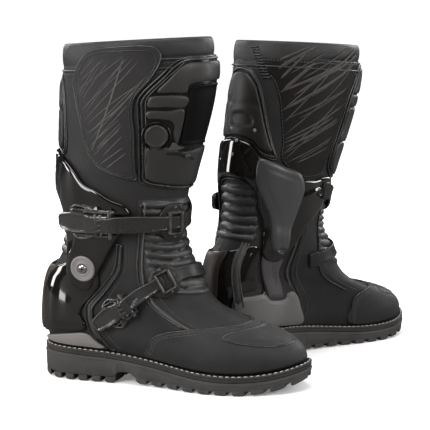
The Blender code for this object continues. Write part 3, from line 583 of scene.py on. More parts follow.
def panel(boot, outline, low, high, res=2.4, edge=1.4, wall=0.35, relief=None, corners=False, holes=()):
    step = min(res, 2.2)
    return slab(boot.on, polygon(outline, step, corners), low, high,
                [polygon(h, 1.2) for h in holes], res, edge, wall, relief)


def shell(boot, lo, hi, outer, inner, columns, rows, power=1.0):
    """A tube round the boot between shares lo(angle) and hi(angle); outer
    and inner give heights for (degree, share)."""
    th = np.linspace(-180, 180, columns, endpoint=False)
    a, b = np.broadcast_to(lo(th), th.shape), np.broadcast_to(hi(th), th.shape)
    f = np.linspace(0, 1, rows)[:, None] ** power
    tt = a[None] * (1 - f) + b[None] * f
    hh = np.broadcast_to(th[None], tt.shape)
    po, _ = skin(tt, np.radians(hh), outer(hh, tt) + 0 * tt, boot.lean)
    pi, _ = skin(tt, np.radians(hh), inner(hh, tt) + 0 * tt, boot.lean)
    n = rows * columns
    r, c = np.meshgrid(np.arange(rows - 1), np.arange(columns), indexing="ij")
    i00, i01 = r * columns + c, r * columns + (c + 1) % columns
    i10, i11 = i00 + columns, i01 + columns
    out = np.stack([i00, i01, i11, i10], -1).reshape(-1, 4)
    inn = out[:, ::-1] + n
    k = np.arange(columns)
    k1 = (k + 1) % columns
    low = np.stack([k1, k, k + n, k1 + n], -1)
    top = np.stack([k, k1, k1 + n, k + n], -1) + (rows - 1) * columns
    return geo(np.concatenate([po.reshape(-1, 3), pi.reshape(-1, 3)]), np.concatenate([out, inn, low, top]))


def frames(p, n):
    d = np.gradient(p, axis=0)
    d /= np.linalg.norm(d, axis=1, keepdims=True) + 1e-12
    n = n - d * (n * d).sum(1, keepdims=True)
    n /= np.linalg.norm(n, axis=1, keepdims=True) + 1e-12
    return d, n, np.cross(n, d)


def surface_line(boot, path, height, step=2.0, closed=False):
    c = np.array(path, float)
    c = c[:, :2] * SC
    q = curve_points(c, closed, 12)
    q = resample(q, step, closed)
    p, n = skin(q[:, 1] / SC[1], np.radians(q[:, 0] / SC[0]), np.full(len(q), float(height)), boot.lean)
    return p, n


def rope(p, n, radius, flat=1.0, seg=8, closed=False, lift=0.0):
    """A round or flattened tube along points p with surface normals n."""
    r = np.broadcast_to(np.asarray(radius, float), len(p))
    if closed:
        pp = np.concatenate([p[-1:], p, p[:1]])
        nn = np.concatenate([n[-1:], n, n[:1]])
        d, m, w = (x[1:-1] for x in frames(pp, nn))
    else:
        d, m, w = frames(p, n)
    a = np.linspace(0, 2 * math.pi, seg, endpoint=False)
    ring = (p[:, None] + r[:, None, None] * (np.cos(a)[None, :, None] * w[:, None]
            + flat * np.sin(a)[None, :, None] * m[:, None]) + lift * m[:, None])
    k = len(p)
    i, j = np.meshgrid(np.arange(k if closed else k - 1), np.arange(seg), indexing="ij")
    i1 = (i + 1) % k
    quads = np.stack([i * seg + j, i * seg + (j + 1) % seg, i1 * seg + (j + 1) % seg, i1 * seg + j], -1).reshape(-1, 4)
    pts, tris = ring.reshape(-1, 3), []
    if not closed:
        pts = np.concatenate([pts, p[:1] - d[:1] * r[0] * 0.5, p[-1:] + d[-1:] * r[-1] * 0.5])
        jj = np.arange(seg)
        tris = np.concatenate([np.stack([(jj + 1) % seg, jj, np.full(seg, k * seg)], -1),
                               np.stack([(k - 1) * seg + jj, (k - 1) * seg + (jj + 1) % seg,
                                         np.full(seg, k * seg + 1)], -1)])
    return geo(pts, quads, tris)


def cord(boot, path, height, radius, flat=1.0, step=2.2, seg=8, closed=False):
    p, n = surface_line(boot, path, height, step, closed)
    return rope(p, n, radius, flat, seg, closed)


def ridge(boot, path, height, width, rise, step=2.0, seg=8):
    """An embossed line: flat, with tapering ends."""
    if len(path) < 3:
        path = np.linspace(path[0], np.asarray(path[0]) + (1.5, 0.003), 4)
    p, n = surface_line(boot, path, height, step)
    s = np.linspace(0, 1, len(p))
    taper = np.clip(np.minimum(s, 1 - s) * 7, 0.12, 1) ** 0.7
    return rope(p, n, width / 2 * taper, rise * 2 / width, seg)


def stitch_line(p, n, pitch, length, radius, dip=0.5, closed=False, start=0.0):
    """Separate stitches along points p: short bent threads."""
    if closed:
        p, n = np.concatenate([p, p[:1]]), np.concatenate([n, n[:1]])
    s = np.concatenate([[0], np.cumsum(np.linalg.norm(np.diff(p, axis=0), axis=1))])
    count = max(1, int((s[-1] - start) / pitch))
    m, seg = 5, 6
    u = np.linspace(-0.5, 0.5, m)
    out = []
    for k in range(count):
        at = start + (k + 0.5) * pitch + u * length
        if at[0] < 0 or at[-1] > s[-1]:
            continue
        q = np.stack([np.interp(at, s, p[:, i]) for i in range(3)], -1)
        v = np.stack([np.interp(at, s, n[:, i]) for i in range(3)], -1)
        q = q + v * (-dip * (np.abs(u) * 2) ** 4)[:, None]
        out.append(rope(q, v, radius * (1 - 0.35 * (np.abs(u) * 2) ** 3), 0.8, seg))
    return out


def stitches(boot, path, height, pitch=4.0, length=2.8, radius=0.42, closed=False):
    p, n = surface_line(boot, path, height, 1.5, closed)
    return stitch_line(p, n, pitch, length, radius, closed=closed)


def turned(point, axis, profile, seg=40):
    """A turned solid: profile of (radius, height) from the bottom centre."""
    axis = np.asarray(axis, float) / np.linalg.norm(axis)
    side = np.cross(axis, [0.3, 0.2, 1.0])
    side /= np.linalg.norm(side)
    other = np.cross(axis, side)
    a = np.linspace(0, 2 * math.pi, seg, endpoint=False)
    rings = [point + axis * h + r * (np.cos(a)[:, None] * side + np.sin(a)[:, None] * other)
             for r, h in profile]
    k = len(rings)
    pts = np.concatenate(rings + [[point + axis * profile[0][1]], [point + axis * profile[-1][1]]])
    i, j = np.meshgrid(np.arange(k - 1), np.arange(seg), indexing="ij")
    quads = np.stack([i * seg + j, i * seg + (j + 1) % seg, (i + 1) * seg + (j + 1) % seg,
                      (i + 1) * seg + j], -1).reshape(-1, 4)
    jj = np.arange(seg)
    tris = np.concatenate([np.stack([(jj + 1) % seg, jj, np.full(seg, k * seg)], -1),
                           np.stack([(k - 1) * seg + jj, (k - 1) * seg + (jj + 1) % seg,
                                     np.full(seg, k * seg + 1)], -1)])
    return geo(pts, quads, tris)


class Bent:
    """Flat hardware bent along a line on the boot: x along, y across, z out."""

    def __init__(self, boot, path, straighten=0.0):
        c = np.array(path, float)
        q = np.concatenate([[0], np.cumsum(np.linalg.norm(np.diff(c[:, :2] * SC, axis=0), axis=1))])
        q /= q[-1]
        u = np.linspace(0, 1, 60)
        if len(c) > 3:
            th, t = (natural_spline(q, c[:, i], u) for i in range(2))
        else:
            th, t = (np.interp(u, q, c[:, i]) for i in range(2))
        h = np.interp(u, q, c[:, 2])
        k = np.ones(7) / 7
        h = np.convolve(np.pad(h, 3, mode="edge"), k, mode="valid")
        p, n = skin(t, np.radians(th), h, boot.lean)
        self.s = np.concatenate([[0], np.cumsum(np.linalg.norm(np.diff(p, axis=0), axis=1))])
        self.p = p
        self.d, self.n, self.w = frames(p, n)
        self.length = self.s[-1]

    def frame(self, x):
        x = np.asarray(x, float)
        def at(v):
            return np.stack([np.interp(x, self.s, v[:, i]) for i in range(3)], -1)
        p, d, n, w = at(self.p), at(self.d), at(self.n), at(self.w)
        over = np.where(x < 0, x, np.where(x > self.length, x - self.length, 0))
        p = p + d * over[..., None]
        return p, d, n, w

    def __call__(self, q, h):
        q = np.asarray(q, float)
        p, d, n, w = self.frame(q[:, 0])
        return p + w * q[:, 1:2] + n * np.broadcast_to(h, len(q))[:, None]


def rect(x0, x1, y0, y1, r=1.0, step=1.6):
    """A rounded rectangle outline."""
    r = min(r, (x1 - x0) / 2.01, (y1 - y0) / 2.01)
    a = np.linspace(0, math.pi / 2, 5)
    c = [(x1 - r, y1 - r, 0), (x0 + r, y1 - r, 1), (x0 + r, y0 + r, 2), (x1 - r, y0 + r, 3)]
    p = np.concatenate([[(cx + r * math.cos(v + k * math.pi / 2), cy + r * math.sin(v + k * math.pi / 2))
                         for v in a] for cx, cy, k in c])
    return resample(p, step, True)


def poly(points, r=0.0, step=1.6):
    """An outline through corners, each taken off by r."""
    p = np.array(points, float)
    out = []
    for i in range(len(p)):
        a, b, c = p[i - 1], p[i], p[(i + 1) % len(p)]
        u, v = a - b, c - b
        lu, lv = np.linalg.norm(u), np.linalg.norm(v)
        k = min(r, 0.45 * lu, 0.45 * lv)
        if k <= 0:
            out.append(b)
            continue
        p0, p1 = b + u / lu * k, b + v / lv * k
        for f in np.linspace(0, 1, 5):
            out.append((1 - f) ** 2 * p0 + 2 * f * (1 - f) * b + f ** 2 * p1)
    return resample(np.array(out), step, True)


def arc(tag, points):
    """Mirror an outline given for the outer side to the inner side."""
    return [(-a, t) for a, t in points] if tag < 0 else points


# ------------------------------------------------------------------ the upper
RIB_LO, RIB_HI = 0.352, 0.606


def upper_height(th, t):
    """Outer height of the one leather shape: foot, bellows and shaft."""
    side = np.abs(th)
    h = np.full(np.broadcast(th, t).shape, -1.2)
    # instep bellows: soft ribs, wandering a little round the leg
    zone = ease((61 - side) / 5) * ease((t - RIB_LO) / 0.012) * ease((RIB_HI - t) / 0.012)
    wander = 0.16 * np.sin(np.radians(th * 2.1) + 0.7) + 0.10 * np.sin(np.radians(th * 5.3) + 9 * t)
    phase = (t - RIB_LO) / (RIB_HI - RIB_LO) * 11.0 + wander
    rib = np.abs(np.sin(math.pi * phase)) ** 0.55
    pinch = 0.82 + 0.18 * np.sin(np.radians(th * 7.0) + 2.1 * np.floor(phase))
    h = h + zone * (rib * 3.6 * pinch - 0.9)
    # heel bellows
    back = 180 - side
    zone = ease((41 - back) / 5) * ease((t - 0.405) / 0.012) * ease((0.606 - t) / 0.012)
    phase = (t - 0.405) / 0.201 * 6.0 + 0.10 * np.sin(np.radians(th * 6.0))
    h = h + zone * (np.abs(np.sin(math.pi * phase)) ** 0.6 * 3.4 - 0.8)
    # soft swells and creases of the leather
    calm = 1 - ease((66 - side) / 8) * ease((t - RIB_LO + 0.03) / 0.03)
    h = h + 0.35 * calm * np.sin(np.radians(th * 3.1) + 7.3 * t) * np.sin(19 * t + np.radians(th * 1.7))
    vamp = ease((0.36 - t) / 0.04) * ease((t - 0.22) / 0.05) * ease((70 - side) / 20)
    h = h - 0.45 * vamp * (0.55 * np.exp(-((t - 0.305 - 0.010 * np.sin(np.radians(3 * th))) / 0.006) ** 2)
                    + 0.45 * np.exp(-((t - 0.275 + 0.012 * np.sin(np.radians(2 * th + 40))) / 0.005) ** 2)
                    + 0.40 * np.exp(-((t - 0.335 - 0.008 * np.sin(np.radians(4 * th))) / 0.005) ** 2))
    return h


def make_upper(b):
    columns, rows = 300, 300
    g = shell(b, lambda th: 0.004, lambda th: 0.960, upper_height, lambda th, t: -3.9 + 0 * t, columns, rows)
    obj = make(b, "boot_leather", g, "leather", replaces=("foot_upper", "shaft_leather",
               "front_bellows", "rear_bellows"), sharp=70, fix=True)
    # the bellows are a softer, darker leather
    mesh = obj.data
    mesh.materials.append(M["bellows"])
    mesh.materials.append(M["leather_smooth"])
    th = np.linspace(-180, 180, columns, endpoint=False)
    t = np.linspace(0.004, 0.960, rows)
    n = (rows - 1) * columns
    r, c = np.divmod(np.arange(n), columns)
    side, share = np.abs(th[c] + 0.6), t[r]
    idx = np.zeros(len(mesh.polygons), np.int32)
    soft = ((side < 63) & (share > RIB_LO + 0.004) & (share < RIB_HI)) | \
           ((side > 140) & (share > 0.407) & (share < 0.606))
    idx[:n] = np.where(soft, 1, np.where((side > 118) & (share > 0.93), 2, 0))
    mesh.polygons.foreach_set("material_index", idx)
    x, y = b.world([[80.0, 0, 0]])[0][:2]
    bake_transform(obj)
    g = shell(b, lambda th: 0.006, lambda th: 0.966, lambda th, t: -6.3 + 0 * t, lambda th, t: -8.6 + 0 * t, 96, 90)
    obj = make(b, "boot_lining", g, "lining", replaces=("ankle_sleeve",), sharp=180)
    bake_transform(obj)


def make_collar(b):
    """The padded top edge: foam under smooth leather, soft and rounded."""
    columns, rings = 220, 26
    th = np.linspace(-180, 180, columns, endpoint=False)
    a = np.linspace(0, 2 * math.pi, rings, endpoint=False)
    back = ease((np.abs(th) - 96) / 30)
    low = 0.957 - 0.020 * back
    gather = 0.45 * np.abs(np.sin(np.radians(th * 9))) * ease((np.abs(np.abs(th) - 150) < 28) * 1.0)
    pts = []
    for u in a:
        up = (1 - math.cos(u)) / 2
        t = low + (1.0 - low) * up ** 0.9
        mid, half = -4.7, 4.3 + 0.5 * back - gather
        h = mid + half * np.sign(math.sin(u)) * abs(math.sin(u)) ** 0.6
        p, _ = skin(t, np.radians(th), h, b.lean)
        pts.append(p)
    i, j = np.meshgrid(np.arange(rings), np.arange(columns), indexing="ij")
    i1, j1 = (i + 1) % rings, (j + 1) % columns
    quads = np.stack([i * columns + j, i * columns + j1, i1 * columns + j1, i1 * columns + j], -1).reshape(-1, 4)
    obj = make(b, "collar_padding", geo(np.concatenate(pts), quads), "leather_smooth", b.shaft,
               replaces=("collar",), sharp=180)
    p, n = surface_line(b, [(x, 0.9545 - 0.0195 * float(ease((abs(x) - 96) / 30))) for x in range(-180, 180, 12)],
                        0.1, 2.2, True)
    make(b, "collar_seam_piping", rope(p, n, 0.9, 0.9, 8, True), "piping", b.shaft, sharp=180)
    parts = []
    for d in (0.0075, ):
        p, n = surface_line(b, [(x, 0.9545 - d - 0.0195 * float(ease((abs(x) - 96) / 30))) for x in range(-180, 180, 12)],
                            -0.5, 1.5, True)
        parts += stitch_line(p, n, 4.2, 2.9, 0.42, closed=True)
    make(b, "collar_stitching", parts, "thread_dark", b.shaft, sharp=180)


# ------------------------------------------------------------------- the sole
def foot_ring(b, grow, columns=200):
    th = np.linspace(-math.pi, math.pi, columns, endpoint=False)
    p = loft(np.zeros_like(th), th, b.lean)[:, :2]
    p = resample(np.concatenate([p]), 3.6, True)
    d = np.roll(p, -1, axis=0) - np.roll(p, 1, axis=0)
    n = np.stack([d[:, 1], -d[:, 0]], -1)
    n /= np.linalg.norm(n, axis=1, keepdims=True)
    if ((p - p.mean(0)) * n).sum() < 0:
        n = -n
    return p + grow * n


def welt(x):
    return along(WELT_LINE, np.clip(x, 0, 305))


def tread(x):
    return np.interp(x, [p[0] for p in TREAD_LINE], [p[1] for p in TREAD_LINE])


def stack(b, profile):
    """Rings round the foot, (outset, height of x), closed above and below."""
    rings = []
    for grow, z in profile:
        r = foot_ring(b, grow)
        rings.append(np.column_stack([r, z(r[:, 0])]))
    c = len(rings[0])
    pts = list(np.concatenate(rings))
    i, j = np.meshgrid(np.arange(len(rings) - 1), np.arange(c), indexing="ij")
    quads = np.stack([i * c + j, i * c + (j + 1) % c, (i + 1) * c + (j + 1) % c, (i + 1) * c + j], -1).reshape(-1, 4)
    tris = []
    for k, flip in ((0, True), (len(rings) - 1, False)):
        ring, level = rings[k][:, :2], profile[k][1]
        lo, hi = ring.min(0), ring.max(0)
        gx, gy = np.meshgrid(np.arange(lo[0] + 6, hi[0] - 4, 8.0), np.arange(lo[1] + 6, hi[1] - 4, 9.0))
        q = np.column_stack([gx.ravel(), gy.ravel()])
        d, ok = edge_distance(q, ring)
        q = q[ok & (d > 3)]
        v2, _, f, *_ = delaunay_2d_cdt([Vector(v) for v in np.concatenate([ring, q])],
                                       [(m, (m + 1) % c) for m in range(c)], [], 1, 1e-5)
        index = {m: k * c + m for m in range(c)}
        for m in range(c, len(v2)):
            index[m] = len(pts)
            pts.append(np.array([v2[m][0], v2[m][1], float(level(np.array([v2[m][0]]))[0])]))
        for tri in f:
            w = [v2[m] for m in tri]
            area = (w[1][0] - w[0][0]) * (w[2][1] - w[0][1]) - (w[1][1] - w[0][1]) * (w[2][0] - w[0][0])
            ids = [index[m] for m in tri]
            tris.append(ids[::-1] if (area > 0) == flip else ids)
    ring = rings[0][:, :2]
    turn = (ring[:, 0] * np.roll(ring[:, 1], -1) - np.roll(ring[:, 0], -1) * ring[:, 1]).sum()
    if turn < 0:
        quads = quads[:, ::-1]
    return geo(np.array(pts), quads, np.array(tris))


def make_sole(b):
    low = lambda x: tread(x) + 6.2 - 2.6 * ease((x - 108) / 10)
    g = stack(b, [(1.2, low), (3.6, lambda x: low(x) + 0.4), (4.6, lambda x: low(x) + 1.8),
                  (5.0, lambda x: welt(x) - 8.4), (4.6, lambda x: welt(x) - 6.6), (3.9, lambda x: welt(x) - 6.2)])
    base = make(b, "outsole_rubber", g, "sole", b.foot, replaces=("outsole",), sharp=35)
    g = stack(b, [(3.6, lambda x: welt(x) - 6.1), (4.7, lambda x: welt(x) - 5.4), (4.9, lambda x: welt(x) - 3.6),
                  (4.3, lambda x: welt(x) - 3.0), (4.3, lambda x: welt(x) - 2.7), (4.9, lambda x: welt(x) - 2.2),
                  (4.9, lambda x: welt(x) - 0.9), (4.2, lambda x: welt(x) - 0.2), (-2.5, lambda x: welt(x) + 0.1)])
    make(b, "welt_rubber", g, "welt", b.foot, replaces=("midsole",), sharp=35)
    # the tread: separate lugs with bevelled edges
    outline = foot_ring(b, 4.4, 400)
    starts = list(np.arange(18.0 - 15.5, 88.0, 15.5))
    bands = [(s + 3.0, s + 12.5) for s in starts if s + 12.5 < 95]
    bands[-1] = (bands[-1][0], 94.0)
    bands += [(s + 3.0, s + 15.5) for s in np.arange(134.0 - 18.5, 290.0, 18.5)]
    lugs = []
    d, _ = None, None
    for x0, x1 in bands:
        x0c, x1c = max(x0, outline[:, 0].min() + 0.2), min(x1, outline[:, 0].max() - 0.2)
        if x1c - x0c < 5:
            continue
        xs = np.linspace(x0c, x1c, 9)
        def edge(x, sign):
            s = outline[:, 1] * sign
            near = np.abs(outline[:, 0] - x) < 4.5
            near &= s > np.median(outline[:, 1]) * sign
            k = np.where(near)[0]
            if len(k) < 2:
                return None
            o = k[np.argsort(outline[k, 0])]
            return float(np.interp(x, outline[o, 0], outline[o, 1]))
        hi = [edge(x, 1) for x in xs]
        lo = [edge(x, -1) for x in xs]
        if any(v is None for v in hi + lo):
            continue
        hi, lo = np.array(hi), np.array(lo)
        mid = (hi + lo) / 2
        wide = float(np.mean(hi - lo))
        zig = 2.2
        for sign in (1, -1):
            outer = hi if sign > 0 else lo
            if wide < 16:
                continue
            inner = mid + sign * (2.2 + zig * np.abs(np.linspace(-1, 1, 9)))
            ring = np.concatenate([np.column_stack([xs, outer]), np.column_stack([xs, inner])[::-1]])
            ring = resample(ring, 2.4, True)
            lugs.append(slab(lambda q, h: np.column_stack([q[:, 0], q[:, 1], tread(q[:, 0]) + 6.6 - h]),
                             ring, 0.0, 6.6, res=4.0, edge=1.0, wall=0.8))
    make(b, "tread_lugs", lugs, "sole", b.foot, sharp=35)
    # stitches along the welt and a raised bead on the wall
    ring = foot_ring(b, 3.0)
    p = np.column_stack([ring, welt(ring[:, 0]) + 0.15])
    up = np.tile([0, 0, 1.0], (len(p), 1))
    make(b, "welt_stitching", stitch_line(p, up, 6.4, 4.2, 0.62, 0.35, True), "thread", b.foot, sharp=180)
    ring = foot_ring(b, 4.95)
    p = np.column_stack([ring, welt(ring[:, 0]) - 8.9])
    d = np.column_stack([ring - foot_ring(b, 3.0), np.zeros(len(ring))])
    make(b, "wall_bead", rope(p, d / np.linalg.norm(d, axis=1, keepdims=True), 0.7, 0.7, 8, True), "sole", b.foot,
         sharp=180)


# ------------------------------------------------------ panels on the foot
TOE_CAP = [(97, .012), (95, .06), (90, .118), (74, .18), (50, .222), (25, .242), (0, .247),
           (-25, .24), (-48, .215), (-66, .165), (-73, .10), (-74, .012), (-45, .012), (-20, .012),
           (0, .012), (20, .012), (45, .012), (72, .012)]
SHIFT_PAD = [(50, .165), (40, .205), (15, .222), (-15, .215), (-36, .185), (-30, .145), (-5, .125), (25, .125)]
COUNTER = [(126, .09), (127, .16), (121, .215), (113, .27), (106, .33), (107, .39), (118, .415),
           (132, .40), (145, .365), (160, .345), (180, .345), (196, .36), (210, .385), (224, .40),
           (229, .36), (228, .28), (228, .20), (216, .18), (204, .155), (192, .10), (180, .058),
           (165, .052), (145, .068)]
CUP = [(116, .012), (117, .035), (123, .062), (135, .052), (150, .038), (165, .025), (180, .028),
       (193, .060), (206, .128), (219, .155), (230, .168), (234, .25), (233, .33), (233, .40),
       (238, .445), (247, .445), (253, .40), (254, .33), (254, .25), (257, .19), (259, .14),
       (258, .07), (257, .012), (235, .012), (210, .012), (180, .010), (150, .012), (130, .012)]
BRACE_OUT = [(133, .335), (128, .29), (120, .277), (113, .30), (109, .345), (99, .41), (87, .475),
             (77, .52), (70, .565), (75, .595), (87, .612), (100, .638), (112, .655), (124, .692),
             (137, .718), (158, .738), (180, .745), (200, .738), (213, .705), (228, .668), (245, .638),
             (262, .636), (276, .637), (290, .646), (303, .644), (308, .618), (301, .585), (291, .54),
             (278, .49), (267, .43), (257, .385), (249, .352), (240, .345), (231, .365), (228, .42),
             (225, .48), (219, .53), (215, .585), (204, .622), (190, .635), (172, .635), (156, .618),
             (147, .585), (143, .53), (140, .46), (137, .39)]
PAD = [(214, .690), (227, .688), (243, .672), (257, .655), (264, .61), (260, .54), (256, .48),
       (256, .43), (254, .402), (249, .384), (243, .383), (238, .397), (235, .43), (231, .50), (223, .56), (215, .62)]
SHIN = [(0, .953), (22, .953), (41, .951), (58, .915), (72, .873), (72, .842), (69, .79),
        (67, .75), (64, .70), (61, .66), (45, .645), (22, .636), (0, .634), (-22, .636),
        (-45, .645), (-60, .67), (-65, .71), (-64, .79), (-62, .87), (-52, .925), (-38, .951), (-20, .953)]
CALF = [(147, .755), (146, .78), (148, .82), (152, .862), (159, .898), (168, .915), (180, .918),
        (190, .910), (199, .885), (207, .84), (214, .79), (221, .745), (226, .714), (213, .722),
        (202, .748), (182, .757), (165, .754), (152, .748)]
HEAT = [(197, .952), (202, .928), (214, .908), (223, .86), (229, .80), (234, .745), (236, .70),
        (246, .668), (262, .645), (276, .645), (289, .66), (291, .71), (292, .79), (294, .87),
        (300, .925), (310, .952), (285, .953), (255, .953), (225, .953)]


def make_foot(b):
    make(b, "toe_cap_leather", panel(b, TOE_CAP, -1.4, 0.9, 3.0, 0.9, 0.5), "leather_toe", b.foot,
         replaces=("toe_cap",))
    top = [(97, .040), (95, .06), (90, .118), (74, .18), (50, .222), (25, .242), (0, .247),
           (-25, .24), (-48, .215), (-66, .165), (-73, .10), (-74, .03)]
    parts = []
    for down in (0.0085, 0.0160):
        line = [(a * (1 - down * 1.2), t - down * (1.0 if abs(a) < 80 else 0.55)) for a, t in top]
        parts += stitches(b, line, 1.25, 3.6, 2.5, 0.42)
    make(b, "toe_cap_stitching", parts, "thread_dark", b.foot, sharp=180)
    make(b, "toe_cap_edge_piping", cord(b, top, 0.2, 0.85), "piping", b.foot, sharp=180)

    def ribs(uv, d):
        return -0.7 * np.exp(-((d - 3.6) / 1.0) ** 2) + 0.25 * ease((d - 5) / 4)
    make(b, "shift_pad_rubber", panel(b, SHIFT_PAD, 0.2, 1.9, 2.0, 1.8, 0.3, ribs), "leather_toe", b.foot,
         replaces=("shift_pad",), sharp=50)
    make(b, "shift_pad_rim", cord(b, SHIFT_PAD, 0.9, 0.9, closed=True), "piping", b.foot, sharp=180)
    # quarter seam, doubled, on the outer side
    seam = [(84, .479), (89, .408), (100, .346), (120, .217), (124, .163), (124, .100), (120, .037), (117, .012)]
    seam_b = [(a - 3.6, t - 0.004) for a, t in seam]
    vamp = [(57, .595), (57, .567), (59, .496), (67, .392), (68, .325), (68, .254), (64, .204)]
    vamp_b = [(a + 3.8, t) for a, t in vamp]
    inner = [(-84, .50), (-94, .40), (-101, .315), (-104, .22), (-105, .12), (-108, .054), (-109, .014)]
    inner_b = [(a + 3.6, t) for a, t in inner]
    inner_v = [(-60, .595), (-59, .52), (-62, .44), (-70, .36), (-72, .28), (-68, .205)]
    x, y = b.world([[80.0, 0, 0]])[0][:2]

    def seams(name, parts, mat):
        obj = make(b, name, parts, mat, sharp=180)
        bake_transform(obj)
    beds = [ridge(b, [((p[0] + q[0]) / 2, (p[1] + q[1]) / 2) for p, q in zip(m, n)], -1.2, w, 0.9)
            for m, n, w in ((seam, seam_b, 9.5), (vamp, vamp_b, 8.0), (inner, inner_b, 5.5))]
    seams("foot_seam_beds", beds, "bellows")
    seams("foot_seam_piping", [cord(b, line, 0.0, r) for line, r in (
        (seam, 1.35), (seam_b, 1.35), (vamp_b, 1.1), (inner_b, 0.9), (inner_v, 0.9))], "piping")
    # the vamp piping lines are coloured lighter: painted highlight
    seams("vamp_piping", [cord(b, line, 0.3, r) for line, r in ((vamp, 0.9), (inner, 0.75))], "piping_light")
    parts = []
    for line in (seam, vamp, inner, inner_v):
        parts += stitches(b, [(a - 8.4 * np.sign(a), t) for a, t in line], -0.85, 3.8, 2.6, 0.40)
    seams("foot_stitching", parts, "thread_dark")

    crease = np.array([(168, .345), (164, .25), (160, .15), (157, .055)]) * SC
    crease_in = np.array([(196, .36), (197, .25), (198, .15), (196, .12)]) * SC

    def facets(uv, d):
        k = np.exp(-(line_distance(uv, crease) / 2.2) ** 2) + np.exp(-(line_distance(uv, crease_in) / 2.2) ** 2)
        return 0.9 * k + 0.5 * ease((d - 5) / 7)
    make(b, "heel_counter_shell", panel(b, COUNTER, -0.8, 2.4, 2.2, 1.8, 0.25, facets), "gloss", b.foot,
         replaces=("heel_counter",), sharp=60)
    strap = [(206, .40), (203, .33), (202, .24), (203, .16), (204, .115)]
    make(b, "heel_back_strap", ridge(b, [(a + 4, t) for a, t in strap], 2.4, 11.0, 1.3), "bellows", b.foot,
         sharp=180)
    # the heel strap's piping is coloured lighter: painted highlight
    p = [cord(b, [(a + k, t) for a, t in strap], 3.6, 0.7) for k in (0.5, 7.5)]
    make(b, "heel_back_piping", p, "piping_light", b.foot, sharp=180)

    rib = np.array([(243, .43), (243, .33), (243, .22), (236, .15)]) * SC

    def stem(uv, d):
        return 0.5 * ease((d - 2.2) / 1.5) - 0.5 * np.exp(-(line_distance(uv, rib) / 1.5) ** 2)
    make(b, "heel_cup_shell", panel(b, CUP, -0.8, 1.2, 2.4, 1.2, 0.4), "gloss", b.foot,
         replaces=("heel_cup",), sharp=60)
    stalk = [(234, .385), (254, .388), (250, .29), (247, .165), (245, .150), (237, .150), (234, .165), (233, .29)]
    make(b, "heel_stem", panel(b, stalk, 0.4, 2.8, 1.6, 1.2, 0.3, stem), "grey_dark", b.foot, sharp=60)
    block = [(204, .146), (222, .163), (232, .168), (236, .140), (247, .140), (251, .172), (257, .176), (258, .10),
             (257, .016), (235, .014), (210, .016), (198, .022), (201, .085)]
    wedge = [(118, .016), (121, .045), (126, .074), (138, .062), (152, .045), (166, .030), (170, .018), (150, .013), (132, .013)]

    def soft(uv, d):
        return 0.5 * ease((d - 2.2) / 2.5)
    make(b, "heel_block", panel(b, block, 0.2, 2.5, 1.8, 1.3, 0.3, soft), "grey", b.foot, sharp=60)
    make(b, "heel_wedge", panel(b, wedge, 0.2, 2.4, 1.8, 1.3, 0.3, soft), "grey_light", b.foot, sharp=60)
    facet = [(148, .352), (165, .340), (180, .338), (193, .350), (190, .27), (189, .18), (187, .105), (176, .066), (161, .066), (158, .13), (160, .22), (155, .30)]
    make(b, "heel_facet", panel(b, facet, 1.6, 4.0, 2.0, 1.6, 0.2, soft), "shell_brown", b.foot, sharp=50)


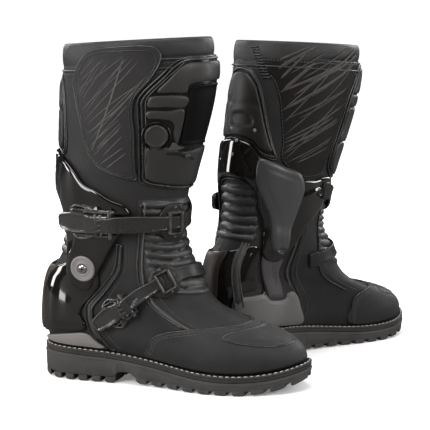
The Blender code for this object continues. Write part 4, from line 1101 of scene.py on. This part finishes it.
# ----------------------------------------------------- panels on the shaft
def make_shaft(b):
    cross = [np.array(v) * SC for v in (
        [(150, .735), (171, .655)], [(171, .732), (150, .655)], [(189, .735), (207, .655)],
        [(207, .728), (189, .655)], [(141, .70), (146, .60)], [(219, .67), (215, .60)])]
    long = [np.array(v) * SC for v in ([(128, .30), (131, .42), (120, .52), (97, .575)],
                                       [(240, .40), (243, .50), (258, .57), (285, .605)])]

    def cuts(uv, d):
        g = sum(np.exp(-(line_distance(uv, c) / 1.3) ** 2) for c in cross)
        r = sum(np.exp(-(line_distance(uv, c) / 4.5) ** 2) for c in long)
        return -1.3 * np.minimum(g, 1) + 1.4 * r
    make(b, "ankle_brace_shell", panel(b, BRACE_OUT, 2.6, 5.5, 2.0, 2.2, 0.2, cuts), "gloss", b.shaft,
         replaces=("ankle_brace",), sharp=60)

    hole = np.array([[247.5, .398]]) * SC

    def dish(uv, d):
        r = np.sqrt(((uv - hole[0]) ** 2).sum(1))
        low = ease((.50 - uv[:, 1] / SC[1]) / .06)
        return 0.7 * ease((d - 2.6) / 1.6) + 0.8 * ease((d - 8) / 6) + 2.2 * low - 3.4 * ease((4.3 - r) / 1.6)
    make(b, "ankle_pad_shell", panel(b, PAD, 4.6, 8.6, 1.6, 2.6, 0.15, dish), "pad", b.shaft,
         replaces=("ankle_pad",), sharp=60)
    # an eyelet at the front of the inner side
    p, n = skin(.600, math.radians(-76), 4.8, b.lean)
    make(b, "brace_eyelet", turned(p, n, [(5.2, 0), (5.2, 2.4), (4.6, 3.0), (3.6, 3.0), (2.9, 2.2), (2.7, 0.4)]),
         "gloss", b.shaft, sharp=50)

    # the shin plate: a dark base, with segments standing on it
    make(b, "shin_base", panel(b, SHIN, -0.8, 1.3, 2.6, 1.0, 0.4), "plate_base", b.shaft,
         replaces=("shin_plate",))
    segs = [
        [(-42, .940), (-20, .945), (20, .945), (40, .940), (54, .908), (61, .884), (48, .8815), (37, .881), (33, .899),
         (0, .903), (-29, .899), (-33, .881), (-46, .8815), (-57, .884), (-50, .908)],
        [(37, .873), (64, .876), (67, .864), (67, .852), (52, .850), (37, .849)],
        [(37, .841), (50, .842), (66.5, .844), (66, .828), (58, .824), (48, .819), (43.5, .806), (43, .785), (40, .768), (37, .764)],
        [(-33, .873), (-59, .876), (-60, .864), (-60, .852), (-46, .850), (-33, .849)],
        [(-33, .841), (-46, .842), (-60, .844), (-60, .82), (-60, .79), (-60, .758), (-46, .756), (-33, .758)],
        [(-60, .747), (-33, .748), (0, .748), (30, .740), (42, .752), (62, .756), (61, .72), (59, .68), (52, .662), (30, .650),
         (0, .645), (-30, .650), (-48, .662), (-58, .68)],
    ]

    def crown(uv, d):
        return 0.6 * ease(d / 6)
    make(b, "shin_segments", [panel(b, s, 0.6, 3.6, 1.5, 1.3, 0.2, crown) for s in segs], "plate", b.shaft,
         sharp=55)
    # the sunk well is coloured near-black: painted shade in the recess
    well = [(-31, .762), (0, .757), (31, .757), (35, .775), (35.5, .87), (31, .892), (0, .897), (-27, .892), (-31, .87)]

    def sunk(uv, d):
        return -0.9 * ease((d - 1.6) / 2.0)
    make(b, "shin_recess", panel(b, well, 0.6, 2.7, 2.0, 1.2, 0.4, sunk), "recess", b.shaft, sharp=55)
    border = [(14, .951), (41, .947), (57, .912), (70, .873), (70.5, .842), (67.5, .79), (65.5, .75),
              (62.5, .70), (59.5, .664), (44, .650), (22, .641), (0, .639), (-22, .641), (-44, .650),
              (-58.5, .674), (-63, .71), (-62.5, .79), (-60.5, .87), (-51, .921), (-38, .946), (-14, .951)]
    wide = [(a * 1.045, .795 + (t - .795) * 1.03) for a, t in border]
    p = [cord(b, border, 1.4, 1.15, closed=True), cord(b, wide, -0.2, 1.25, closed=True)]
    make(b, "shin_piping", p, "piping", b.shaft, sharp=180)
    # a lighter line along the shin plate's outer edge: painted highlight
    make(b, "shin_edge_line", cord(b, [(40, .9455), (55, .911), (67.5, .873), (68, .845), (65, .79), (62, .72), (58.5, .672)], 2.3, 0.45),
         "piping_light", b.shaft, sharp=180)
    # the keyhole and its disc
    p, n = skin(.784, math.radians(57), 0.6, b.lean)
    make(b, "shin_disc_rim", turned(p, n, [(15.6, 0.0), (15.6, 2.4), (14.9, 3.2), (14.0, 3.2), (13.4, 2.4), (13.2, 0.9), (0.5, 0.9)], 56),
         "plate_base", b.shaft, sharp=45)
    make(b, "shin_disc_cap", turned(p, n, [(12.0, 0.6), (12.0, 3.6), (11.5, 4.3), (10.3, 4.6), (10.0, 4.35), (5.0, 4.5), (0.5, 4.6)], 56),
         "plate", b.shaft, replaces=("shin_disc",), sharp=45)
    tip = [(43, .767), (39.5, .766), (36, .757), (28.5, .7515), (36, .7445), (45, .746)]
    make(b, "shin_tip", panel(b, tip, 2.0, 4.4, 0.9, 1.2, 0.2, corners=True), "grey_dark", b.shaft)
    # a near-black slab laid where the slot is: painted shade in place of an open slot
    slot_ = [(46, .742), (36, .741), (26, .733), (14, .722), (13, .716), (24, .722), (35, .731), (45, .7345)]
    make(b, "shin_slot_painted_shade", panel(b, slot_, 3.0, 4.3, 1.0, 0.4, 0.6), "shadow", b.shaft)
    q, m = skin(.728, math.radians(24), 4.0, b.lean)
    make(b, "shin_knob", turned(q, m, [(3.2, 0), (3.2, 1.2), (2.4, 2.1), (0.4, 2.4)], 28), "plate", b.shaft, sharp=45)

    # calf guard
    arch = np.array([(146, .845), (158, .85), (180, .838), (196, .845), (212, .835)]) * SC
    mouth = np.array([(172, .815), (186, .822), (199, .812), (202, .79), (188, .783), (173, .79)]) * SC
    xs = [np.array(v) * SC for v in ([(152, .86), (170, .76)], [(170, .86), (150, .78)], [(165, .77), (172, .83)])]

    def calf(uv, d):
        g = sum(np.exp(-(line_distance(uv, c) / 1.3) ** 2) for c in xs)
        dm, inm = edge_distance(uv, resample(curve_points(mouth, True), 1.5, True))
        return 0.5 * ease((d - 3.5) / 2.5) - 0.9 * np.minimum(g, 1) \
            - 0.9 * np.exp(-(line_distance(uv, arch) / 1.6) ** 2) - 2.4 * ease((np.where(inm, dm, -dm) + 0.5) / 1.8)
    make(b, "calf_guard_shell", panel(b, CALF, -0.6, 2.9, 2.0, 1.8, 0.2, calf), "shell_matt", b.shaft,
         replaces=("calf_guard",), sharp=60)
    rivets = []
    for a, t in ((187, .742), (184, .70), (176, .775), (205, .775)):
        q, m = skin(t, math.radians(a), 2.4 if t > .76 else 4.6, b.lean)
        rivets.append(turned(q, m, [(2.2, 0), (2.2, 0.7), (1.6, 1.3), (0.3, 1.6)], 22))
    make(b, "calf_rivets", rivets, "washer", b.shaft, sharp=45)
    ring = [(a if a < 180 else a, t) for a, t in CALF]
    out = [(184 + (a - 184) * 1.07, .83 + (t - .83) * 1.10) for a, t in ring]
    make(b, "calf_guard_piping", [cord(b, out, -0.2, 1.25, closed=True),
         cord(b, [(184 + (a - 184) * 1.13, .83 + (t - .83) * 1.17) for a, t in ring], -0.6, 0.9, closed=True)], "piping", b.shaft, sharp=180)
    # arches over the heel bellows
    rear = [(219, .535), (214, .60), (203, .628), (180, .636), (158, .626), (146, .60), (141, .535)]
    make(b, "heel_bellows_arch", [cord(b, rear, 0.4, 1.3), cord(b, [(180 + (a - 180) * .93, t - .010) for a, t in rear], 0.6, 1.0)],
         "piping", b.shaft, sharp=180)

    # inner heat guard with raised diagonal ribs
    make(b, "heat_guard_leather", panel(b, HEAT, -1.8, 0.5, 2.8, 0.9, 0.4), "heat", b.shaft,
         replaces=("heat_guard",))
    inside = polygon([(252 + (a - 252) * 0.95, .80 + (t - .80) * (0.955 if t < .9 else 1.26)) for a, t in HEAT], 2.0)
    ribs = []
    rng = np.random.default_rng(7)
    for k in range(34):
        t0 = .600 + k * .0120 + rng.uniform(-0.006, 0.006)
        rise = rng.uniform(0.13, 0.20) if k % 4 else rng.uniform(0.26, 0.34)
        u = np.linspace(0, 1, 60)
        line = np.column_stack([215 + 92 * u, t0 + rise * u + 0.008 * np.sin(2.5 * u + k)]) * SC
        ids = np.where(edge_distance(line, inside)[1])[0]
        if len(ids) < 12:
            continue
        lo, hi = ids[0], ids[-1]
        skip = rng.integers(0, max(1, (hi - lo) // 3))
        lo, hi = (lo + skip, hi) if k % 2 else (lo, hi - skip)
        path = line[lo:hi + 1:4] / SC
        if len(path) >= 4:
            wide = rng.uniform(1.0, 1.9) + (2.2 * rng.random() if t0 > .80 else 0.0)
            ribs.append(ridge(b, path, 0.45, wide, 0.55, 2.4))
    make(b, "heat_guard_ribs", ribs, "heat_line", b.shaft, sharp=180)
    edge = [(252 + (a - 252) * 0.97, .80 + (t - .80) * 0.975) for a, t in HEAT]
    make(b, "heat_guard_stitching", stitches(b, edge, 0.65, 3.8, 2.6, 0.40, closed=True), "thread_dark", b.shaft,
         sharp=180)

    # outer embossed panel
    side = [(130, .915), (125, .945), (117, .970), (106, .983), (88, .986), (70, .985), (61, .978), (58, .955), (66, .915), (77, .875), (78, .84), (74.5, .79),
            (72, .74), (69, .695), (67, .668), (80, .677), (94, .693), (105, .718), (115, .770), (122, .83), (129, .885)]
    make(b, "side_panel", panel(b, side, -1.8, 1.3, 2.8, 0.9, 0.4), "leather", b.shaft)
    make(b, "side_panel_piping", [cord(b, side, 0.6, 1.0, closed=True),
                                  cord(b, [(96 + (a - 96) * .90, .81 + (t - .81) * .95) for a, t in side], 1.3, 0.55, closed=True)],
         "piping", b.shaft, sharp=180)
    inside = polygon([(97 + (a - 97) * 0.84, .81 + (t - .81) * 0.91) for a, t in side], 2.0)
    lines = []
    for k in range(25):
        c = .640 + k * .0135
        u = np.linspace(0, 1, 52)
        bend, steep = rng.uniform(-0.012, 0.012), rng.uniform(0.12, 0.22)
        line = np.column_stack([124 - 58 * u, c - .03 + steep * u + bend * np.sin(3 * u)]) * SC
        ids = np.where(edge_distance(line, inside)[1])[0]
        if len(ids) >= 14:
            lo, hi = ids[0] + rng.integers(0, 4), ids[-1] - rng.integers(0, 4)
            lines.append(ridge(b, line[lo:hi + 1:3] / SC, 1.25, 1.0, 0.55, 2.0))
    for k in range(8):
        c = .72 + k * .03
        u = np.linspace(0, 1, 30)
        line = np.column_stack([116 - 3 * k - 22 * u, c - .06 + .21 * u]) * SC
        ids = np.where(edge_distance(line, inside)[1])[0]
        if len(ids) >= 12:
            lines.append(ridge(b, line[ids[0]:ids[-1] + 1:3] / SC, 1.25, 0.9, 0.5, 2.0))
    make(b, "side_panel_embossing", lines, "emboss", b.shaft, sharp=180)
    # gathers along the back edge of the inner panel
    zig = []
    for k in range(12):
        t = .905 + k * .0068
        a = 203 - k * 1.4
        zig.append(ridge(b, [(a, t), (a + 3, t + .003), (a + 6, t + .002), (a + 9, t + .005)], 0.6, 1.6, 1.0, 1.2))
    make(b, "back_gathers", zig, "piping", b.shaft, sharp=180)


# ---------------------------------------------------------------- the pivots
def make_pivots(b):
    out = skin(0.3625, 0, 0, b.lean)
    inner_h = {}
    for tag, where, radius in (("outer", ANKLE_OUTER, 14.0), ("inner", ANKLE_INNER, 7.0)):
        lo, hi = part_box("pivot_screw_%s_%s" % (tag, b.side))
        c = (np.array(lo) + np.array(hi)) / 2 / MM
        q = (c - b.at) @ b.rot * np.array([1.0, b.lat, 1.0])
        inner_h[tag] = (q, radius)
    axis = inner_h["outer"][0] - inner_h["inner"][0]
    axis /= np.linalg.norm(axis)
    for tag, sign in (("outer", 1.0), ("inner", -1.0)):
        c, radius = inner_h[tag]
        v = axis * sign
        top = _head_top(b, tag, v)
        def at(r, h):
            return (r, h)
        p = c + v * (top - c @ v)
        if tag == "outer":
            ring = [(radius - 0.4, -3.2), (radius, -2.6), (radius, -1.4), (radius - 0.7, -0.7), (radius - 2.2, -0.4),
                    (radius - 3.0, -0.8), (7.6, -1.0), (6.8, -0.4), (6.2, -0.4), (5.6, -1.0), (5.4, -2.2), (0.3, -2.2)]
            make(b, "pivot_washer_outer", turned(p, v, ring, 64), "washer", b.foot,
                 replaces=("pivot_screw_outer",), sharp=50)
        else:
            ring = [(radius - 0.6, -4.2), (radius - 0.4, -3.8), (radius - 0.4, -3.4), (radius - 1.0, -3.0), (3.6, -3.0), (3.4, -2.4), (0.3, -2.4)]
            make(b, "pivot_washer_inner", turned(p, v, ring, 48), "buckle", b.foot,
                 replaces=("pivot_screw_inner",), sharp=50)
        r = 4.4 if tag == "outer" else 2.9
        if tag == "inner":
            p = p - v * 2.2
        head = [(r, -2.2), (r, -0.6), (r - 0.5, 0.1), (r - 1.6, 0.5), (0.3, 0.8)]
        pieces = [turned(p, v, head, 40)]
        make(b, "pivot_screw_" + tag + "_head", pieces, "steel" if tag == "outer" else "buckle", b.foot, sharp=40)
        side = np.cross(v, [0.2, 0.1, 1.0])
        side /= np.linalg.norm(side)
        other = np.cross(v, side)
        # screw-head slots: near-black bars standing in for the slots, painted shade
        bars = []
        for u, w in ((side, other), (other, side)):
            box_ = []
            for z in (0.35, 0.95):
                for x, y in ((-r * .62, -.62), (r * .62, -.62), (r * .62, .62), (-r * .62, .62)):
                    box_.append(p + v * z + u * x + w * y)
            bars.append(geo(np.array(box_), [(0, 1, 2, 3), (7, 6, 5, 4), (0, 4, 5, 1), (1, 5, 6, 2), (2, 6, 7, 3), (3, 7, 4, 0)]))
        make(b, "pivot_cross_" + tag, bars, "shadow", b.foot, sharp=30)


def _head_top(b, tag, v):
    """How far out the CAD screw's washer face lies along v, boot frame."""
    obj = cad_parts["pivot_screw_%s_%s" % (tag, b.side)]
    p = np.array([tuple(w.co) for w in obj.data.vertices]) / MM
    q = (p - b.at) @ b.rot * np.array([1.0, b.lat, 1.0])
    return float((q @ v).max()) - 1.4


# --------------------------------------------------------------- the buckles
UPPER = dict(
    base=[(130, .542, 6.2), (115, .542, 6.2), (100, .542, 6.2), (84, .542, 6.2)],
    lever=[(140, .540, 9.0), (125, .541, 8.4), (108, .542, 8.4), (86, .542, 8.4)],
    strap=[(96, .542, 14.0), (84, .542, 14.0), (72, .542, 9.8), (60, .542, 7.2), (45, .542, 5.6), (26, .544, 5.6)],
    anchor=[(-68, .605, 6.4), (-52, .598, 6.4), (-42, .585, 3.4), (-25, .562, 2.6), (0, .546, 2.6), (22, .543, 2.6), (44, .542, 3.0)],
    half=15.0, strap_half=8.8, pad=20.0, wing=18.5)
LOWER = dict(
    base=[(113, .150, 1.0), (106, .190, 1.0), (98, .230, 1.0), (89, .275, 1.0)],
    lever=[(119, .112, 4.0), (110, .168, 3.2), (101, .217, 3.2), (90, .270, 3.2)],
    strap=[(97, .236, 8.8), (89, .275, 8.8), (82, .304, 5.6), (75, .330, 3.8), (66, .356, 3.0), (54, .383, 3.0)],
    anchor=[(-77, .362, 0.6), (-63, .377, 1.2), (-40, .393, 2.2), (-12, .405, 2.4), (12, .410, 2.4), (36, .402, 2.0), (64, .360, 1.0)],
    half=13.8, strap_half=7.8, pad=16.5, wing=17.0)


def box_slab(f, x0, x1, y0, y1, lo, hi, r=1.0, edge=0.6, res=2.5):
    return slab(f, rect(x0, x1, y0, y1, r, 1.4), lo, hi, res=res, edge=edge, wall=0.3)


def make_buckle(b, tag, spec, body):
    up = tag == "upper"
    lever_body = "%s_lever_%s" % (tag, b.side)
    strap_body = "%s_strap_body_%s" % (tag, b.side)
    # base: a plate with two wings, and cheeks either side of the lever
    f = Bent(b, spec["base"])
    L, w, h = f.length, spec["wing"], spec["half"]
    out = poly([(-1, -4), (4, -w + 2), (13, -w - 1), (L * .52, -w + 1), (L * .66, -h + 2.5), (L + 1, -h + 2.5),
                (L + 1, h - 2.5), (L * .66, h - 2.5), (L * .52, w - 1), (13, w + 1), (4, w - 2), (-1, 4)], 4.0)
    holes = [poly([(6, s * (w - 6)), (L * .44, s * (w - 6)), (L * .40, s * (w - 2.4)), (11, s * (w - 1.8))], 2.0, 1.2) for s in (-1, 1)]

    def seat(uv, d):
        return -1.2 * ease((uv[:, 0] - L * .74) / 3) * ease((h - 1.5 - np.abs(uv[:, 1])) / 1.5) - 0.5 * ease((d - 2.2) / 1.5)
    plate_ = slab(f, out, -3.0 if up else -1.6, 2.6, holes, 1.7, 1.5, 0.25, seat)
    cheeks = [box_slab(f, L * .42, L + 2.5, s * (h - 2.2) - 1.3, s * (h - 2.2) + 1.3, 0.6, 7.4, 1.2, 1.2, 1.6) for s in (-1, 1)]
    low_cheeks = [box_slab(f, L * .12, L * .46, s * (h - 1.4) - 1.1, s * (h - 1.4) + 1.1, 0.6, 3.8, 1.0, 1.0, 1.8) for s in (-1, 1)]
    make(b, tag + "_buckle_frame", [plate_] + cheeks + low_cheeks, "buckle", body,
         replaces=(tag + "_buckle_base",), sharp=50)
    # hinge pin at the front end of the base
    g = Bent(b, spec["lever"])
    Lg = g.length
    hinge, d, n, wv = g.frame(np.array([Lg]))
    hinge, d, n, wv = hinge[0] + n[0] * 2.4, d[0], n[0], wv[0]
    make(b, tag + "_buckle_pin", turned(hinge - wv * (h + .6), wv, [(2.1, 0), (2.3, .4), (2.3, 2 * h + .8), (2.1, 2 * h + 1.2)], 24),
         "buckle", body, sharp=45)
    # lever: tapered, with a raised rim at its rounded tip and a dished middle
    half = h - 4.6
    out = poly([(-1, -5.4), (2.2, -half * .86), (Lg * .30, -half - 0.9), (Lg * .62, -half - 0.6), (Lg * .66, -half), (Lg + 0.3, -half),
                (Lg + 0.3, half), (Lg * .66, half), (Lg * .62, half + 0.6), (Lg * .30, half + 0.9), (2.2, half * .86), (-1, 5.4)], 2.4)

    def dish(uv, d):
        tip = ease((Lg * .62 - uv[:, 0]) / 6)
        step = ease((uv[:, 0] - Lg * .66) / 2.0)
        teeth = 0.5 * (np.sin(uv[:, 0] * 2 * math.pi / 3.0) > 0) * ease((uv[:, 0] - Lg * .40) / 2) * (1 - step)
        return -1.3 * ease((d - 2.0) / 1.2) * tip + 0.9 * step * ease((d - 1.0) / 1.0) + teeth * ease((d - 2.2) / 1)
    make(b, tag + "_buckle_handle", [slab(g, out, 0.6, 5.0, (), 1.3, 1.5, 0.2, dish)], "buckle", lever_body,
         replaces=(tag + "_buckle_lever",), sharp=50)
    k = Lg * .78
    rods = []
    for x in (k, k + 5.5):
        c, dd, nn, ww = (v[0] for v in g.frame(np.array([x])))
        rods.append(turned(c + nn * 5.0 - ww * (half + .8), ww, [(1.4, 0), (1.6, .3), (1.6, 2 * half + 1.3), (1.4, 2 * half + 1.6)], 20))
    make(b, tag + "_buckle_lever_pins", rods, "buckle", lever_body, sharp=45)
    # strap: notched block, ladder and free end
    s = Bent(b, spec["strap"])
    Ls, sh = s.length, spec["strap_half"]
    out = poly([(-1, -sh * .82), (Ls * .16, -sh * .86), (Ls * .22, -sh), (Ls * .55, -sh), (Ls, -sh * .80),
                (Ls + 5, -sh * .72), (Ls + 5, sh * .72), (Ls, sh * .80), (Ls * .55, sh), (Ls * .22, sh), (Ls * .16, sh * .86), (-1, sh * .82)], 1.6)

    def ladder(uv, d):
        x = uv[:, 0]
        zone = ease((x - Ls * .52) / 2) * ease((d - 1.6) / .8)
        rail = 0.55 * np.exp(-((d - 1.3) / 0.7) ** 2) * ease((x - Ls * .2) / 3)
        tri = ((x - Ls * .25) / (Ls * .22))
        cut_ = -0.9 * ((tri > 0) & (tri < 1) & (np.abs(uv[:, 1]) < sh * .62 * (1 - tri))) * ease((d - 1) / 1)
        return rail + cut_ + 0.22 * zone * np.sin(x * 2 * math.pi / 3.4)
    block = [box_slab(s, -2.5, 5.5, y - 1.5, y + 1.5, 0.2, 4.8, 0.8, 0.9, 1.4) for y in (-sh * .62, 0, sh * .62)]
    make(b, tag + "_strap_ladder", [slab(s, out, 0.0, 2.4, (), 1.2, 0.7, 0.4, ladder)] + block, "strap", strap_body,
         replaces=(tag + "_strap",), sharp=45)
    # receiver: a pad with a slot and loop, on a strap that goes round the front
    a = Bent(b, spec["anchor"])
    La, pw = a.length, spec["pad"]
    sb = sh * .95
    out = poly([(0, -sb * .9), (6, -sb), (La - 34, -sb), (La - 27, -pw), (La - 10, -pw), (La - 1, -sb * 1.1), (La + 1, 0),
                (La - 1, sb * 1.1), (La - 10, pw), (La - 27, pw), (La - 34, sb), (6, sb), (0, sb * .9)], 3.0)

    def webbing(uv, d):
        x = uv[:, 0]
        pad_ = ease((x - (La - 33)) / 3)
        return 0.35 * np.exp(-((d - 1.6) / 0.7) ** 2) * (1 - pad_) + 0.9 * pad_ * ease((d - 1.2) / 2.2) \
            - 0.8 * pad_ * np.exp(-((d - 6.0) / 0.8) ** 2)
    make(b, tag + "_receiver_pad", [slab(a, out, -0.4, 2.0, (), 1.6, 0.9, 0.4, webbing)], "catch", body,
         replaces=(tag + "_receiver",), sharp=50)
    dz = 2.2
    loop = [box_slab(a, La - 12.5, La - 9.5, -sh - 3.2, sh + 3.2, dz - 0.6, dz + (5.0 if up else 4.6), 1.0, 1.2, 1.6),
            box_slab(a, La - 26.0, La - 23.0, -sh - 3.2, sh + 3.2, dz - 0.6, dz + (5.0 if up else 4.6), 1.0, 1.2, 1.6)]
    loop += [box_slab(a, La - 25.0, La - 10.5, y * (sh + 2.4) - 1.1, y * (sh + 2.4) + 1.1, dz - 0.6, dz + (5.4 if up else 5.0), 0.8, 1.2, 1.6) for y in (-1, 1)]
    make(b, tag + "_receiver_loop", loop, "buckle", body, sharp=50)
    bolts = []
    for y in (-pw * .78, pw * .78):
        c, dd, nn, ww = (v[0] for v in a.frame(np.array([La - 18.0])))
        bolts.append(turned(c + nn * 1.9 + ww * y, nn, [(1.9, 0), (1.9, .6), (1.3, 1.1), (0.3, 1.3)], 20))
    make(b, tag + "_receiver_rivets", bolts, "buckle", body, sharp=45)
    # the strap's far end: a small tab
    tab = poly([(-4, -sb * 1.15), (9, -sb * 1.25), (12, 0), (9, sb * 1.25), (-4, sb * 1.15)], 2.0)
    make(b, tag + "_strap_end", [slab(a, tab, -0.8, 2.6, (), 1.8, 1.0, 0.4)], "catch", body, sharp=50)


for spec in (RIGHT, LEFT):
    b = Boot(**spec)
    make_upper(b)
    make_collar(b)
    make_sole(b)
    make_foot(b)
    make_shaft(b)
    make_pivots(b)
    make_buckle(b, "upper", UPPER, b.shaft)
    make_buckle(b, "lower", LOWER, b.foot)
    for name, mat, slot in (("footbed", "lining", "lining"), ("shank", "steel", "steel")):
        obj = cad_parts[name + "_" + b.side]
        obj.data.materials.clear()
        obj.data.materials.append(M[mat])

# -------------------------------------------------------------- floor, lights
floor_mat, tree, shader = new_material("floor_pale", (0.86, 0.86, 0.86), 0.75, specular=0.2)
at = coords(tree)
pale = tint(tree, remap(tree, noise(tree, at, 3, 3.0), 0.3, 0.7, 0.0, 1.0), (0.85, 0.85, 0.85), (0.88, 0.88, 0.88))
path = node(tree, "ShaderNodeLightPath")
# painted reflection: glossy rays see the floor dark, so shiny parts reflect a dark floor
tree.links.new(blend_colour(tree, path.outputs["Is Glossy Ray"], pale, (0.10, 0.10, 0.10)), shader.inputs["Base Color"])
# the floor runs out into white
far = node(tree, "ShaderNodeVectorMath", {0: at}, operation="LENGTH").outputs["Value"]
glow = maths(tree, "MULTIPLY", remap(tree, far, 0.25, 0.80, 0.16, 1.0), path.outputs["Is Camera Ray"])
tree.links.new(glow, shader.inputs["Emission Strength"])
shader.inputs["Emission Color"].default_value = (1, 1, 1, 1)
tree.links.new(bump(tree, noise(tree, at, 400, 2.0), 0.05, 0.0002), shader.inputs["Normal"])
bpy.ops.mesh.primitive_plane_add(size=14.0, location=(0, 0, -0.0002))
floor = bpy.context.object
floor.name = "floor"
floor.data.materials.append(floor_mat)


def softbox(name, place, target, size, power, size_y=None):
    data = bpy.data.lights.new(name, "AREA")
    data.shape = "RECTANGLE"
    data.size, data.size_y = size, size_y or size
    data.energy = power
    obj = bpy.data.objects.new(name, data)
    obj.location = place
    obj.rotation_euler = (Vector(target) - Vector(place)).to_track_quat("-Z", "Y").to_euler()
    bpy.context.scene.collection.objects.link(obj)
    return obj


softbox("key_left", (-1.25, -1.35, 1.15), (0, 0, 0.15), 0.75, 34, 0.95)
softbox("key_right", (1.35, -1.25, 1.05), (0, 0, 0.15), 0.55, 17, 0.95)
softbox("side_left", (-1.9, 0.1, 0.55), (0, 0, 0.2), 0.35, 13, 1.0)
softbox("side_right", (1.8, 0.2, 0.6), (0, 0, 0.2), 0.35, 13, 1.0)
softbox("low_left", (-1.75, -0.95, 0.30), (0, 0, 0.2), 0.40, 9, 0.85)
softbox("top", (0, -0.1, 1.9), (0, 0, 0.1), 1.3, 30)
softbox("back_left", (-1.1, 1.3, 1.0), (0, 0, 0.2), 0.6, 13, 1.0)
softbox("back_right", (1.1, 1.3, 1.0), (0, 0, 0.2), 0.6, 13, 1.0)
world = bpy.data.worlds.new("studio")
bpy.context.scene.world = world
world.use_nodes = True
sky = world.node_tree
sky.nodes["Background"].inputs["Color"].default_value = (1, 1, 1, 1)
seen = node(sky, "ShaderNodeLightPath")
level = maths(sky, "ADD", seen.outputs["Is Camera Ray"], maths(sky, "MULTIPLY", seen.outputs["Is Diffuse Ray"], 0.16))
sky.links.new(maths(sky, "ADD", level, 0.06), sky.nodes["Background"].inputs["Strength"])
bpy.context.scene.view_settings.view_transform = "Standard"

camera_data = bpy.data.cameras.new("camera")
camera_data.lens = 123.32
camera_data.sensor_width = 36.0
camera = bpy.data.objects.new("camera", camera_data)
camera.location = (-0.0219, -1.6585, 0.404)
camera.rotation_euler = (math.pi / 2 - 0.143, 0, 0)
bpy.context.scene.collection.objects.link(camera)
bpy.context.scene.camera = camera
